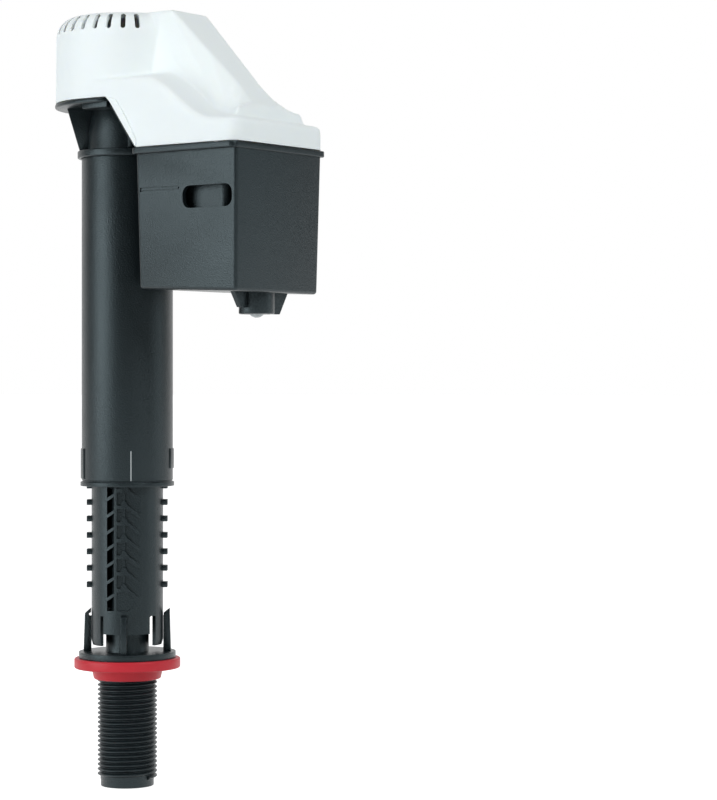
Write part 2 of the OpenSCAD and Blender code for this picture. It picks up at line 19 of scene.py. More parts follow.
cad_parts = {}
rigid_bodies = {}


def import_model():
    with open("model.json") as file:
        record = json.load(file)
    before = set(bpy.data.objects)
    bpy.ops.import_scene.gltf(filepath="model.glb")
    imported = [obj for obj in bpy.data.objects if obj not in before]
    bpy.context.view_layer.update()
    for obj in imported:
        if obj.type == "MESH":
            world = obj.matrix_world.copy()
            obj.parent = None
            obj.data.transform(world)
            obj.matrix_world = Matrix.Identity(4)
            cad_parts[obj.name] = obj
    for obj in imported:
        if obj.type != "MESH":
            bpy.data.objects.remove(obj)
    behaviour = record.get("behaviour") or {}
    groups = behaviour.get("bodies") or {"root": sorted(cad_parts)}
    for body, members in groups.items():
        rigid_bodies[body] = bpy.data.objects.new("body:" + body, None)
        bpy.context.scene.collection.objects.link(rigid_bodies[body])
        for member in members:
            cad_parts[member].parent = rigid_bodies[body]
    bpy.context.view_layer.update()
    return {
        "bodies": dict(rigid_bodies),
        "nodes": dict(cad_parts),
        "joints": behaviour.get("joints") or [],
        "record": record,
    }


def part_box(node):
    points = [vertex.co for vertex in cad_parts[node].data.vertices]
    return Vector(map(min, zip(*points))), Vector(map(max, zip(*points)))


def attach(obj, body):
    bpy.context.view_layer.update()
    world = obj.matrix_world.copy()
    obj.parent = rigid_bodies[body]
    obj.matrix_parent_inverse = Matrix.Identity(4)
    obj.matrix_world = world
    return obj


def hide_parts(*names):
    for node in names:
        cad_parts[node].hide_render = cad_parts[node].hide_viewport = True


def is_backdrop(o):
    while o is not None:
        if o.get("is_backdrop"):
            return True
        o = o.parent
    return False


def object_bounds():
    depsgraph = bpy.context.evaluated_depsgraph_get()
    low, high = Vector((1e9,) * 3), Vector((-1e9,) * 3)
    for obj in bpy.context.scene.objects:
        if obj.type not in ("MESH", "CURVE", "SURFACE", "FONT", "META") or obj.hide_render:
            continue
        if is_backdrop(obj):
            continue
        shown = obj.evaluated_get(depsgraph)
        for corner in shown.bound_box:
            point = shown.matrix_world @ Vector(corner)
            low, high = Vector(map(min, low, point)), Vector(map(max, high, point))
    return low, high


BMesh = bmesh.types.BMesh
BMVert = bmesh.types.BMVert
Flat = tuple[float, float]
Colour = tuple[float, float, float]
Pick = Callable[[bmesh.types.BMEdge], bool]

LOG = logging.getLogger("fill_valve")
MM = 0.001
FULL_TURN = 360.0
FRONT_AND_BACK = (0.0, 180.0)
# How close corners are welded, how near a place counts as being there, how deep an added form is
# rooted and how far a cutter overruns.
WELD = 1e-4
NEAR = 0.1
ROOT = 0.4
OVERRUN = 1.0


class Slot(Enum):
    """The record's material slots."""

    BLACK = "black_plastic"
    WHITE = "white_plastic"
    RED = "red_rubber"
    DARK = "dark_rubber"
    CLEAR = "clear_grey"
    STEEL = "steel"


class Join(Enum):
    """How two closed solids are put together."""

    ADD = "UNION"
    CUT = "DIFFERENCE"


class Axis(Enum):
    """The axes of the CAD frame."""

    X = 0
    Y = 1
    Z = 2


def reach(node: str) -> tuple[Vector, Vector]:
    """Finds the corners of a CAD node at rest.

    Args:
        node: The node's name.

    Returns:
        The lowest and the highest corner, in millimetres.
    """
    low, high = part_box(node)
    return low / MM, high / MM


class MouldedGrain:
    """Shared shader group: fine moulded grain with a faint drift of tone and gloss."""

    NAME = "moulded_grain"
    INPUTS = (("Colour", "NodeSocketColor"), ("Gloss", "NodeSocketFloat"),
              ("Scale", "NodeSocketFloat"), ("Tone Spread", "NodeSocketFloat"),
              ("Gloss Spread", "NodeSocketFloat"))
    OUTPUTS = (("Colour", "NodeSocketColor"), ("Roughness", "NodeSocketFloat"),
               ("Height", "NodeSocketFloat"))
    FINE_DETAIL = 3.0
    DRIFT_SHARE = 0.035
    NOISE_MIDDLE = 0.5
    PLAIN_TONE = 1.0

    def __init__(self) -> None:
        """Builds the group once."""
        self.group = bpy.data.node_groups.new(self.NAME, "ShaderNodeTree")
        for way, sockets in (("INPUT", self.INPUTS), ("OUTPUT", self.OUTPUTS)):
            for name, kind in sockets:
                self.group.interface.new_socket(name, in_out=way, socket_type=kind)
        self._make_nodes()

    def _make_nodes(self) -> None:
        """Wires grain and drift to the outputs."""
        nodes, links = self.group.nodes, self.group.links
        source = nodes.new("NodeGroupInput")
        sink = nodes.new("NodeGroupOutput")
        place = nodes.new("ShaderNodeTexCoord")
        grain = nodes.new("ShaderNodeTexNoise")
        grain.inputs["Detail"].default_value = self.FINE_DETAIL
        drift_scale = nodes.new("ShaderNodeMath")
        drift_scale.operation = "MULTIPLY"
        drift_scale.inputs[1].default_value = self.DRIFT_SHARE
        drift = nodes.new("ShaderNodeTexNoise")
        tone = nodes.new("ShaderNodeHueSaturation")
        links.new(place.outputs["Object"], grain.inputs["Vector"])
        links.new(place.outputs["Object"], drift.inputs["Vector"])
        links.new(source.outputs["Scale"], grain.inputs["Scale"])
        links.new(source.outputs["Scale"], drift_scale.inputs[0])
        links.new(drift_scale.outputs[0], drift.inputs["Scale"])
        links.new(grain.outputs["Fac"], sink.inputs["Height"])
        self._shift(drift.outputs["Fac"], source.outputs["Gloss"], source.outputs["Gloss Spread"],
                    sink.inputs["Roughness"])
        self._shift(drift.outputs["Fac"], self.PLAIN_TONE, source.outputs["Tone Spread"],
                    tone.inputs["Value"])
        links.new(source.outputs["Colour"], tone.inputs["Color"])
        links.new(tone.outputs["Color"], sink.inputs["Colour"])

    def _shift(self, noise: bpy.types.NodeSocket, base: bpy.types.NodeSocket | float,
               spread: bpy.types.NodeSocket, target: bpy.types.NodeSocket) -> None:
        """Adds centred noise times a spread to a value.

        Args:
            noise: Noise from 0 to 1.
            base: The value to move.
            spread: How far the noise moves it.
            target: Where the sum goes.
        """
        nodes, links = self.group.nodes, self.group.links
        centre = nodes.new("ShaderNodeMath")
        centre.operation = "SUBTRACT"
        centre.inputs[1].default_value = self.NOISE_MIDDLE
        sum_up = nodes.new("ShaderNodeMath")
        sum_up.operation = "MULTIPLY_ADD"
        links.new(noise, centre.inputs[0])
        links.new(centre.outputs[0], sum_up.inputs[0])
        links.new(spread, sum_up.inputs[1])
        if isinstance(base, float):
            sum_up.inputs[2].default_value = base
        else:
            links.new(base, sum_up.inputs[2])
        links.new(sum_up.outputs[0], target)


@dataclass(frozen=True)
class Finish:
    """One plastic, rubber or metal finish.

    Colours are linear; grain depth and glow depth are in metres.
    """

    slot: Slot
    colour: Colour
    roughness: float
    metallic: float = 0.0
    coat: float = 0.0
    sheen_level: float = 0.5
    sheen_tint: Colour = (1.0, 1.0, 1.0)
    glow_through: float = 0.0
    glow_depth: float = 0.003
    glow_spread: Colour = (1.0, 0.85, 0.6)
    grain_scale: float = 2600.0
    grain_depth: float = 0.00003
    bump: float = 0.1
    tone_spread: float = 0.12
    gloss_spread: float = 0.1

    def material(self, grain: MouldedGrain) -> bpy.types.Material:
        """Makes the finish's material.

        Args:
            grain: The shared grain group.

        Returns:
            The new material.
        """
        made = bpy.data.materials.new(self.slot.value)
        made.use_nodes = True
        nodes, links = made.node_tree.nodes, made.node_tree.links
        shader = nodes["Principled BSDF"]
        shader.inputs["Metallic"].default_value = self.metallic
        shader.inputs["Coat Weight"].default_value = self.coat
        shader.inputs["Specular IOR Level"].default_value = self.sheen_level
        shader.inputs["Specular Tint"].default_value = (*self.sheen_tint, 1.0)
        shader.inputs["Subsurface Weight"].default_value = self.glow_through
        shader.inputs["Subsurface Scale"].default_value = self.glow_depth
        shader.inputs["Subsurface Radius"].default_value = self.glow_spread
        texture = nodes.new("ShaderNodeGroup")
        texture.node_tree = grain.group
        texture.inputs["Colour"].default_value = (*self.colour, 1.0)
        texture.inputs["Gloss"].default_value = self.roughness
        texture.inputs["Scale"].default_value = self.grain_scale
        texture.inputs["Tone Spread"].default_value = self.tone_spread
        texture.inputs["Gloss Spread"].default_value = self.gloss_spread
        relief = nodes.new("ShaderNodeBump")
        relief.inputs["Strength"].default_value = self.bump
        relief.inputs["Distance"].default_value = self.grain_depth
        links.new(texture.outputs["Colour"], shader.inputs["Base Color"])
        links.new(texture.outputs["Roughness"], shader.inputs["Roughness"])
        links.new(texture.outputs["Height"], relief.inputs["Height"])
        links.new(relief.outputs["Normal"], shader.inputs["Normal"])
        return made


FINISHES = (
    Finish(Slot.BLACK, (0.0068, 0.0102, 0.0118), 0.32, sheen_level=0.42,
           sheen_tint=(0.78, 0.95, 1.0), bump=1.0, grain_scale=2000.0, grain_depth=0.00014),
    Finish(Slot.WHITE, (0.86, 0.90, 0.90), 0.55, tone_spread=0.02, bump=0.05, glow_through=0.15),
    Finish(Slot.RED, (0.56, 0.022, 0.036), 0.42, sheen_level=0.3, tone_spread=0.06),
    Finish(Slot.DARK, (0.018, 0.018, 0.019), 0.62),
    Finish(Slot.CLEAR, (0.50, 0.53, 0.54), 0.38, tone_spread=0.03),
    Finish(Slot.STEEL, (0.58, 0.59, 0.60), 0.30, metallic=1.0, tone_spread=0.04),
)


class Workshop:
    """Keeps the finishes and turns bmeshes into dressed pieces."""

    SHARP_DEGREES = 34.0

    def __init__(self, frame: dict) -> None:
        """Makes the materials.
        """
        grain = MouldedGrain()
        self.materials = {finish.slot: finish.material(grain) for finish in FINISHES}
        self.frame = frame

    def body_of(self, node: str) -> str:
        """Names the body that carries a CAD node."""
        bodies = self.frame["record"]["behaviour"]["bodies"]
        return next(body for body, members in bodies.items() if node in members)

    def solid(self, bm: BMesh, name: str) -> bpy.types.Object:
        """Makes an object from a bmesh in millimetres.

        Args:
            bm: The bmesh, which is freed.
            name: The object's name.

        Returns:
            The object, in metres, at the origin.
        """
        bmesh.ops.scale(bm, vec=(MM, MM, MM), verts=bm.verts)
        mesh = bpy.data.meshes.new(name)
        bm.to_mesh(mesh)
        bm.free()
        made = bpy.data.objects.new(name, mesh)
        bpy.context.scene.collection.objects.link(made)
        return made

    def amend(self, target: bpy.types.Object, change: Callable[[BMesh], None]) -> None:
        """Changes an object's mesh in millimetres.

        Args:
            target: The object.
            change: What is done to its bmesh.
        """
        bm = bmesh.new()
        bm.from_mesh(target.data)
        bmesh.ops.scale(bm, vec=(1 / MM,) * 3, verts=bm.verts)
        change(bm)
        bmesh.ops.scale(bm, vec=(MM,) * 3, verts=bm.verts)
        bm.to_mesh(target.data)
        bm.free()

    def settle(self, target: bpy.types.Object) -> None:
        """Makes an object's modifiers part of its mesh.

        Args:
            target: The object.
        """
        bpy.context.view_layer.update()
        graph = bpy.context.evaluated_depsgraph_get()
        result = bpy.data.meshes.new_from_object(target.evaluated_get(graph))
        old = target.data
        target.modifiers.clear()
        target.data = result
        bpy.data.meshes.remove(old)

    def combine(self, target: bpy.types.Object, tool: bpy.types.Object, how: Join) -> None:
        """Adds a closed solid to another or cuts it away, and removes the tool.

        Args:
            target: The solid that stays.
            tool: The solid that is used up.
            how: Add or cut.
        """
        step = target.modifiers.new(how.name, "BOOLEAN")
        step.operation = how.value
        step.solver = "MANIFOLD"
        step.object = tool
        self.settle(target)
        mesh = tool.data
        bpy.data.objects.remove(tool)
        bpy.data.meshes.remove(mesh)

    def work(self, target: bpy.types.Object, how: Join, *tools: BMesh) -> None:
        """Adds closed bmeshes in millimetres to a solid or cuts them away, one by one."""
        for tool in tools:
            self.combine(target, self.solid(tool, "tool"), how)

    def dress(self, piece: bpy.types.Object, slot: Slot, carrier: str, *stands_for: str) -> None:
        """Shades a piece, gives it its finish and its body.

        Args:
            piece: The piece.
            slot: The finish.
            carrier: A CAD node on the same body.
            stands_for: CAD nodes that the piece replaces.
        """
        mesh = piece.data
        mesh.materials.clear()
        mesh.materials.append(self.materials[slot])
        mesh.shade_smooth()
        mesh.set_sharp_from_angle(angle=math.radians(self.SHARP_DEGREES))
        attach(piece, self.body_of(carrier))
        if stands_for:
            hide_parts(*stands_for)
        LOG.info("%s: %d faces on %s", piece.name, len(mesh.polygons), self.body_of(carrier))

    def dress_nodes(self) -> None:
        """Gives every CAD node the finish of its slot."""
        for part in self.frame["record"]["subparts"]:
            node = self.frame["nodes"][part["node"]]
            node.data.materials.clear()
            node.data.materials.append(self.materials[Slot(part["material_slot"])])


def spin_about(bm: BMesh, degrees: float, verts: Iterable[BMVert] | None = None) -> None:
    """Turns vertices about Z.

    Args:
        bm: The mesh.
        degrees: The angle.
        verts: Which vertices, or all of them.
    """
    bmesh.ops.rotate(bm, verts=list(verts or bm.verts), cent=(0, 0, 0),
                     matrix=Matrix.Rotation(math.radians(degrees), 3, "Z"))


def ring_edges(bm: BMesh, corners: list[BMVert]) -> list[bmesh.types.BMEdge]:
    """Joins corners into a closed ring and returns its edges."""
    return [bm.edges.new(pair) for pair in zip(corners, corners[1:] + corners[:1])]


def turn(bm: BMesh, outline: Sequence[Flat], steps: int = 96, start: float = 0.0,
         sweep: float = FULL_TURN, climb: float = 0.0) -> None:
    """Turns a closed outline about Z, or sweeps it along a screw line.

    Args:
        bm: Where the solid goes.
        outline: Corners as radius and height.
        steps: Steps of the whole sweep.
        start: Angle of the outline, in degrees.
        sweep: Angle swept, in degrees.
        climb: Height gained over the sweep.
    """
    corners = [bm.verts.new((radius, 0.0, height)) for radius, height in outline]
    loop = ring_edges(bm, corners)
    spin_about(bm, start, corners)
    closed = sweep == FULL_TURN and climb == 0.0
    bmesh.ops.spin(bm, geom=[*corners, *loop], cent=(0, 0, 0), axis=(0, 0, 1),
                   dvec=(0, 0, climb / steps), angle=math.radians(sweep), steps=steps,
                   use_merge=closed)
    if closed:
        bmesh.ops.remove_doubles(bm, verts=bm.verts, dist=WELD)
    else:
        bmesh.ops.holes_fill(bm, edges=[e for e in bm.edges if e.is_boundary], sides=0)
    bmesh.ops.recalc_face_normals(bm, faces=bm.faces)


def block(bm: BMesh, low: Sequence[float], high: Sequence[float]) -> list[BMVert]:
    """Adds a box.

    Args:
        bm: Where the box goes.
        low: Lowest corner.
        high: Highest corner.

    Returns:
        The box's vertices.
    """
    made = bmesh.ops.create_cube(bm, size=1.0)["verts"]
    bmesh.ops.scale(bm, vec=Vector(high) - Vector(low), verts=made)
    bmesh.ops.translate(bm, vec=(Vector(high) + Vector(low)) / 2, verts=made)
    return made


def rod(radius: float, middle: float, length: float, x: float = 0.0, segments: int = 64) -> BMesh:
    """Makes an upright round rod.

    Args:
        radius: Its radius.
        middle: Height of its middle.
        length: Its length.
        x: Where it stands along X.
        segments: Steps round it.

    Returns:
        The rod.
    """
    bm = bmesh.new()
    bmesh.ops.create_cone(bm, cap_ends=True, segments=segments, radius1=radius, radius2=radius,
                          depth=length, matrix=Matrix.Translation((x, 0.0, middle)))
    return bm


def thicken(bm: BMesh, faces: list[bmesh.types.BMFace], length: Sequence[float]) -> list[BMVert]:
    """Extrudes flat faces into a solid.

    Args:
        bm: Where the faces are.
        faces: The faces.
        length: The extrusion as a vector.

    Returns:
        The vertices of the far end.
    """
    made = bmesh.ops.extrude_face_region(bm, geom=faces)["geom"]
    far = [item for item in made if isinstance(item, BMVert)]
    bmesh.ops.translate(bm, vec=Vector(length), verts=far)
    bmesh.ops.recalc_face_normals(bm, faces=bm.faces)
    return far


def prism(bm: BMesh, outline: Iterable[Sequence[float]], length: Sequence[float]) -> list[BMVert]:
    """Extrudes a flat outline.

    Args:
        bm: Where the solid goes.
        outline: The corners of the outline.
        length: The extrusion as a vector.

    Returns:
        The solid's vertices.
    """
    corners = [bm.verts.new(corner) for corner in outline]
    return corners + thicken(bm, [bm.faces.new(corners)], length)


def plate(bm: BMesh, outline: Sequence[Flat], low_y: float, high_y: float) -> list[BMVert]:
    """Extrudes an outline of X and Z corners from one Y to another, and returns its vertices."""
    return prism(bm, [(x, low_y, z) for x, z in outline], (0.0, high_y - low_y, 0.0))


def loft(bm: BMesh, rings: Sequence[Sequence[Vector]]) -> None:
    """Bridges closed rings of corners into one solid.

    Args:
        bm: Where the solid goes.
        rings: Rings with equal numbers of corners, in order.
    """
    loops = [ring_edges(bm, [bm.verts.new(corner) for corner in ring]) for ring in rings]
    for near, far in zip(loops, loops[1:]):
        bmesh.ops.bridge_loops(bm, edges=near + far)
    for end in (loops[0], loops[-1]):
        bmesh.ops.edgeloop_fill(bm, edges=end)
    bmesh.ops.recalc_face_normals(bm, faces=bm.faces)


def merge(bm: BMesh, extra: BMesh) -> None:
    """Adds one bmesh to another.

    Args:
        bm: The bmesh that grows.
        extra: The bmesh that is added, which is freed.
    """
    mesh = bpy.data.meshes.new("merge")
    extra.to_mesh(mesh)
    extra.free()
    bm.from_mesh(mesh)
    bpy.data.meshes.remove(mesh)


def along(axis: Axis, least: float = 1.0) -> Pick:
    """Makes a test for edges that run at least so far along an axis."""
    return lambda edge: abs(edge.verts[0].co[axis.value] - edge.verts[1].co[axis.value]) > least


def past(axis: Axis, limit: float) -> Pick:
    """Makes a test for edges that lie wholly past a place on an axis."""
    return lambda edge: min(vert.co[axis.value] for vert in edge.verts) > limit


def soften(bm: BMesh, width: float, segments: int = 3, degrees: float = 30.0,
           pick: Pick = lambda edge: True) -> None:
    """Rounds the sharp edges.

    Args:
        bm: The solid.
        width: Width of the rounding.
        segments: Steps of the rounding.
        degrees: Edges that turn less than this stay.
        pick: Chooses among the sharp edges.
    """
    limit = math.radians(degrees)
    sharp = [e for e in bm.edges if e.is_manifold and e.calc_face_angle() > limit and pick(e)]
    bmesh.ops.bevel(bm, geom=sharp, offset=width, offset_type="OFFSET", affect="EDGES",
                    segments=segments, profile=0.5, material=-1, clamp_overlap=True)


@dataclass
class RiserBase:
    """Threaded shank with its flange, fins and riser, the tank washer and the notched sleeve."""

    turned: float = 37.0
    # Shank, flange and riser
    shank_bottom: float = -45.7
    plain_top: float = -43.2
    plain_r: float = 10.3
    inlet_r: float = 6.5
    flange_rows: Flat = (3.9, 6.4)
    flange_r: float = 18.8
    riser_r: float = 8.35
    riser_top: float = 160.0
    shoulder: tuple[float, float, float] = (9.3, 19.0, 21.0)
    shoulder_chamfer: float = 1.0
    shank_round: float = 0.5
    # Thread
    root_r: float = 10.45
    crest_r: float = 11.6
    pitch: float = 1.814
    turns: int = 24
    turn_steps: int = 40
    thread_root: float = 0.15
    thread_start: float = 0.05
    thread_flank: float = 0.25
    crest_ease: float = 0.12
    thread_shares: tuple[float, ...] = (0.0, 0.06, 0.36, 0.44)
    # Fins
    fin_width: float = 2.3
    fin_reach: Flat = (14.2, 17.0)
    fin_tops: tuple[Flat, ...] = ((21.4, 23.2), (23.3, 21.2), (23.3, 21.2), (21.5, 20.8))
    fin_lean: float = 0.5
    fin_round: float = 0.25
    fin_web: float = 0.9
    fin_web_inset: float = 1.0
    fin_web_reach: float = 0.2
    tooth_count: int = 4
    tooth_start: float = 2.0
    tooth_step: float = 3.1
    tooth_depth: float = 0.9
    tooth_lean: float = 0.2
    # Washer
    washer_gap: float = 0.15
    washer_step_r: float = 13.9
    washer_taper: float = 0.9
    washer_round: float = 0.6
    # Sleeve and its fingers
    sleeve_r: float = 13.9
    sleeve_in: float = 12.3
    sleeve_top: float = 165.0
    sleeve_chamfer: Flat = (0.5, 2.0)
    sleeve_steps: int = 120
    web: Flat = (21.0, 24.0)
    web_gap: float = 0.1
    leg_bottom: float = 9.2
    tongue_bottom: float = 13.9
    tongue_arc: Flat = (-127.5, -36.0)
    front_slots: tuple[Flat, ...] = ((-133.2, -126.6), (-46.6, -33.8))
    back_slots: tuple[Flat, ...] = ((-146.5, -123.8), (-41.5, -24.0))
    finger_top: float = 20.8
    arc_steps: int = 16
    # Pegs, windows and pockets, which repeat up the sleeve
    notch_pitch: float = 6.4
    notch_rows: int = 20
    peg_first: float = 32.4
    peg_size: tuple[float, float, float] = (15.65, 4.4, 2.2)
    peg_root: float = 1.0
    peg_round: float = 0.15
    window_sides: Flat = (-6.8, -3.75)
    window_floor: float = 9.4
    window_taper: float = 0.45
    window_bottom: float = 23.0
    bar_first: float = 27.4
    bar_rise: float = 2.0
    bar_half: float = 0.65
    pocket_sides: tuple[float, float, float, float] = (-2.95, 1.5, 6.0, 7.1)
    pocket_rows: Flat = (31.66, 36.62)
    pocket_falls: Flat = (4.4, 4.2)
    pocket_floor: float = 12.45
    tent: tuple[float, float, float, float] = (-1.53, -0.75, 0.3, 1.4)
    tent_rise: float = 1.76
    rib_floor: float = 13.1
    rib_overlap: float = 0.1
    end_floor: float = 13.2

    def build(self, shop: Workshop) -> None:
        """Builds and dresses the pieces of the base.

        Args:
            shop: The workshop.
        """
        shop.dress(self._shank(shop), Slot.BLACK, "threaded_shank", "threaded_shank")
        shop.dress(self._washer(shop), Slot.RED, "shank_washer", "shank_washer")
        shop.dress(self._sleeve(shop), Slot.BLACK, "adjusting_sleeve", "adjusting_sleeve")

    def _shank(self, shop: Workshop) -> bpy.types.Object:
        """Turns the shank, winds its thread and stands the fins on its flange.

        Args:
            shop: The workshop.

        Returns:
            The shank.
        """
        bm = bmesh.new()
        flange_low, flange_high = self.flange_rows
        shoulder_r, shoulder_low, shoulder_high = self.shoulder
        turn(bm, [(self.inlet_r, self.shank_bottom), (self.plain_r, self.shank_bottom),
                  (self.plain_r, self.plain_top), (self.root_r, self.plain_top),
                  (self.root_r, flange_low), (self.flange_r, flange_low),
                  (self.flange_r, flange_high), (self.riser_r, flange_high),
                  (self.riser_r, shoulder_low), (shoulder_r, shoulder_low + self.shoulder_chamfer),
                  (shoulder_r, shoulder_high), (self.riser_r, shoulder_high),
                  (self.riser_r, self.riser_top), (self.inlet_r, self.riser_top)])
        soften(bm, self.shank_round)
        self._thread(bm)
        for quarter, tops in enumerate(self.fin_tops):
            self._fin(bm, self.turned + quarter * FULL_TURN / len(self.fin_tops), tops)
        return shop.solid(bm, "shank")

    def _thread(self, bm: BMesh) -> None:
        """Winds a rounded ridge up the shank.

        Args:
            bm: Where the ridge goes.
        """
        foot = self.root_r - self.thread_root
        low = self.plain_top + self.thread_start * self.pitch
        radii = (foot, foot + self.thread_flank, self.crest_r - self.crest_ease, self.crest_r)
        rise = list(zip(radii, self.thread_shares))
        fall = [(radius, 1.0 - share) for radius, share in reversed(rise)]
        turn(bm, [(radius, low + share * self.pitch) for radius, share in rise + fall],
             steps=self.turn_steps * self.turns, sweep=FULL_TURN * self.turns,
             climb=self.pitch * self.turns)

    def _fin(self, bm: BMesh, degrees: float, tops: Flat) -> None:
        """Stands one saw-toothed fin on the flange, with a thin web behind its teeth.

        Args:
            bm: Where the fin goes.
            degrees: Its angle about Z.
            tops: Its height at the inner and the outer edge.
        """
        inner, outer = self.fin_reach
        top_inner, top_outer = tops
        foot = self.flange_rows[1] - ROOT
        teeth = []
        for i in range(self.tooth_count):
            z = top_inner - self.tooth_start - i * self.tooth_step
            teeth += [(inner, z), (inner + self.tooth_depth, z - self.tooth_lean)]
        fin = bmesh.new()
        plate(fin, [(outer, foot), (outer - self.fin_lean, top_outer), (inner, top_inner), *teeth,
                    (inner, foot)], -self.fin_width / 2, self.fin_width / 2)
        soften(fin, self.fin_round, segments=2)
        far, near = outer - self.fin_web_inset, inner - self.fin_web_reach
        head = min(tops) - self.fin_web_inset
        plate(fin, [(far, foot), (far, head), (near, head), (near, foot)],
              -self.fin_web / 2, self.fin_web / 2)
        spin_about(fin, degrees)
        merge(bm, fin)

    def _washer(self, shop: Workshop) -> bpy.types.Object:
        """Turns the stepped tank washer.

        Args:
            shop: The workshop.

        Returns:
            The washer.
        """
        low, high = reach("shank_washer")
        bore, step_r = self.crest_r + self.washer_gap, self.washer_step_r
        bm = bmesh.new()
        turn(bm, [(bore, low.z), (step_r - self.washer_taper, low.z), (step_r, 0.0),
                  (high.x, 0.0), (high.x, high.z), (bore, high.z)])
        soften(bm, self.washer_round, segments=4)
        return shop.solid(bm, "tank_washer")

    def _sleeve(self, shop: Workshop) -> bpy.types.Object:
        """Turns the sleeve, cuts its fingers, pockets and windows and adds the pegs.

        Args:
            shop: The workshop.

        Returns:
            The sleeve.
        """
        bm = bmesh.new()
        web_low, web_high = self.web
        web_r = self.riser_r + self.web_gap
        chamfer, chamfer_rise = self.sleeve_chamfer
        turn(bm, [(self.sleeve_r - chamfer, self.leg_bottom),
                  (self.sleeve_r, self.leg_bottom + chamfer_rise),
                  (self.sleeve_r, self.sleeve_top), (self.sleeve_in, self.sleeve_top),
                  (self.sleeve_in, web_high), (web_r, web_high), (web_r, web_low),
                  (self.sleeve_in, web_low), (self.sleeve_in, self.leg_bottom)],
             steps=self.sleeve_steps)
        sleeve = shop.solid(bm, "notched_sleeve")
        for cutter in (self._tongue_cut, self._finger_cut, self._pocket_cut, self._rib_cut,
                       self._window_cut):
            bm = bmesh.new()
            for side in FRONT_AND_BACK:
                cutter(bm, side)
            shop.work(sleeve, Join.CUT, bm)
        shop.amend(sleeve, self._pegs)
        return sleeve

    def _arc_cut(self, bm: BMesh, arc: Flat, side: float, top: float) -> None:
        """Adds one curved cutter through the wall, open at the lower end.

        Args:
            bm: Where the cutter goes.
            arc: First and last angle.
            side: 0 for the front, 180 for the back.
            top: Height of the cut.
        """
        inner, outer = self.sleeve_in - OVERRUN, self.sleeve_r + OVERRUN
        bottom = self.leg_bottom - OVERRUN
        turn(bm, [(inner, bottom), (outer, bottom), (outer, top), (inner, top)],
             steps=self.arc_steps, start=arc[0] + side, sweep=arc[1] - arc[0])

    def _tongue_cut(self, bm: BMesh, side: float) -> None:
        """Shortens the front and back of the sleeve to a tongue."""
        self._arc_cut(bm, self.tongue_arc, side, self.tongue_bottom)

    def _finger_cut(self, bm: BMesh, side: float) -> None:
        """Slots the sleeve on both sides of the tongue."""
        for arc in self.back_slots if side else self.front_slots:
            self._arc_cut(bm, arc, side, self.finger_top)

    def _pull_cut(self, bm: BMesh, outline: Sequence[Flat], floor: float, side: float) -> None:
        """Adds one straight cutter that is pulled out of the sleeve's front or back.

        Args:
            bm: Where the cutter goes.
            outline: Corners as sideways place and height.
            floor: Distance of the cut's flat floor from the axis.
            side: 0 for the front, 180 for the back.
        """
        spin_about(bm, side, plate(bm, outline, -self.sleeve_r - OVERRUN, -floor))

    def _pocket_cut(self, bm: BMesh, side: float) -> None:
        """Sinks the pockets between the bent bars, to the left and right of their ribs.

        Args:
            bm: Where the cutters go.
            side: 0 for the front, 180 for the back.
        """
        left, bend, right_high, right_low = self.pocket_sides
        low, high = self.pocket_rows
        fall_low, fall_high = self.pocket_falls
        tent_left, rib_left, rib_right, tent_right = self.tent
        for row in range(self.notch_rows):
            foot, head = (z + row * self.notch_pitch for z in (low, high))
            self._pull_cut(bm, [(left, foot), (tent_left, foot), (rib_left, foot + self.tent_rise),
                                (rib_left, head), (left, head)], self.pocket_floor, side)
            self._pull_cut(bm, [(rib_right, foot + self.tent_rise), (tent_right, foot),
                                (right_low, foot - fall_low), (right_high, head - fall_high),
                                (bend, head), (rib_right, head)], self.pocket_floor, side)

    def _rib_cut(self, bm: BMesh, side: float) -> None:
        """Lowers the rib that stands in every pocket, and sinks the shallow end of the column.

        Args:
            bm: Where the cutters go.
            side: 0 for the front, 180 for the back.
        """
        left, bend, right, _ = self.pocket_sides
        low, high = self.pocket_rows
        rib_left, rib_right = self.tent[1] - self.rib_overlap, self.tent[2] + self.rib_overlap
        for row in range(self.notch_rows):
            foot, head = (z + row * self.notch_pitch for z in (low + self.tent_rise, high))
            self._pull_cut(bm, [(rib_left, foot), (rib_right, foot), (rib_right, head),
                                (rib_left, head)], self.rib_floor, side)
        head = high - self.notch_pitch
        fall = self.pocket_falls[1]
        self._pull_cut(bm, [(left, self.window_bottom), (bend, self.window_bottom),
                            (right, head - fall), (bend, head), (left, head)], self.end_floor, side)

    def _window_cut(self, bm: BMesh, side: float) -> None:
        """Opens the slanted windows between the rising bars; they narrow inward on one side.

        Args:
            bm: Where the cutters go.
            side: 0 for the front, 180 for the back.
        """
        first_top = self.bar_first - self.bar_half
        self._window(bm, side, (self.window_bottom, first_top), (0.0, self.bar_rise))
        for row in range(self.notch_rows):
            low = self.bar_first + row * self.notch_pitch + self.bar_half
            high = low + self.notch_pitch - 2 * self.bar_half
            self._window(bm, side, (low, high), (self.bar_rise, self.bar_rise))

    def _window(self, bm: BMesh, side: float, rows: Flat, rises: Flat) -> None:
        """Adds the cutter of one window.

        Args:
            bm: Where the cutter goes.
            side: 0 for the front, 180 for the back.
            rows: Height of its lower and upper edge at the left.
            rises: How much each edge climbs to the right.
        """
        left, right = self.window_sides
        rings = []
        for depth in (self.sleeve_r + OVERRUN, self.window_floor):
            edge = right + self.window_taper * (depth - self.sleeve_r)
            climb = (edge - left) / (right - left)
            corners = [(left, rows[0]), (edge, rows[0] + rises[0] * climb),
                       (edge, rows[1] + rises[1] * climb), (left, rows[1])]
            rings.append([Vector((x, -depth, z)) for x, z in corners])
        cutter = bmesh.new()
        loft(cutter, rings)
        spin_about(cutter, side)
        merge(bm, cutter)

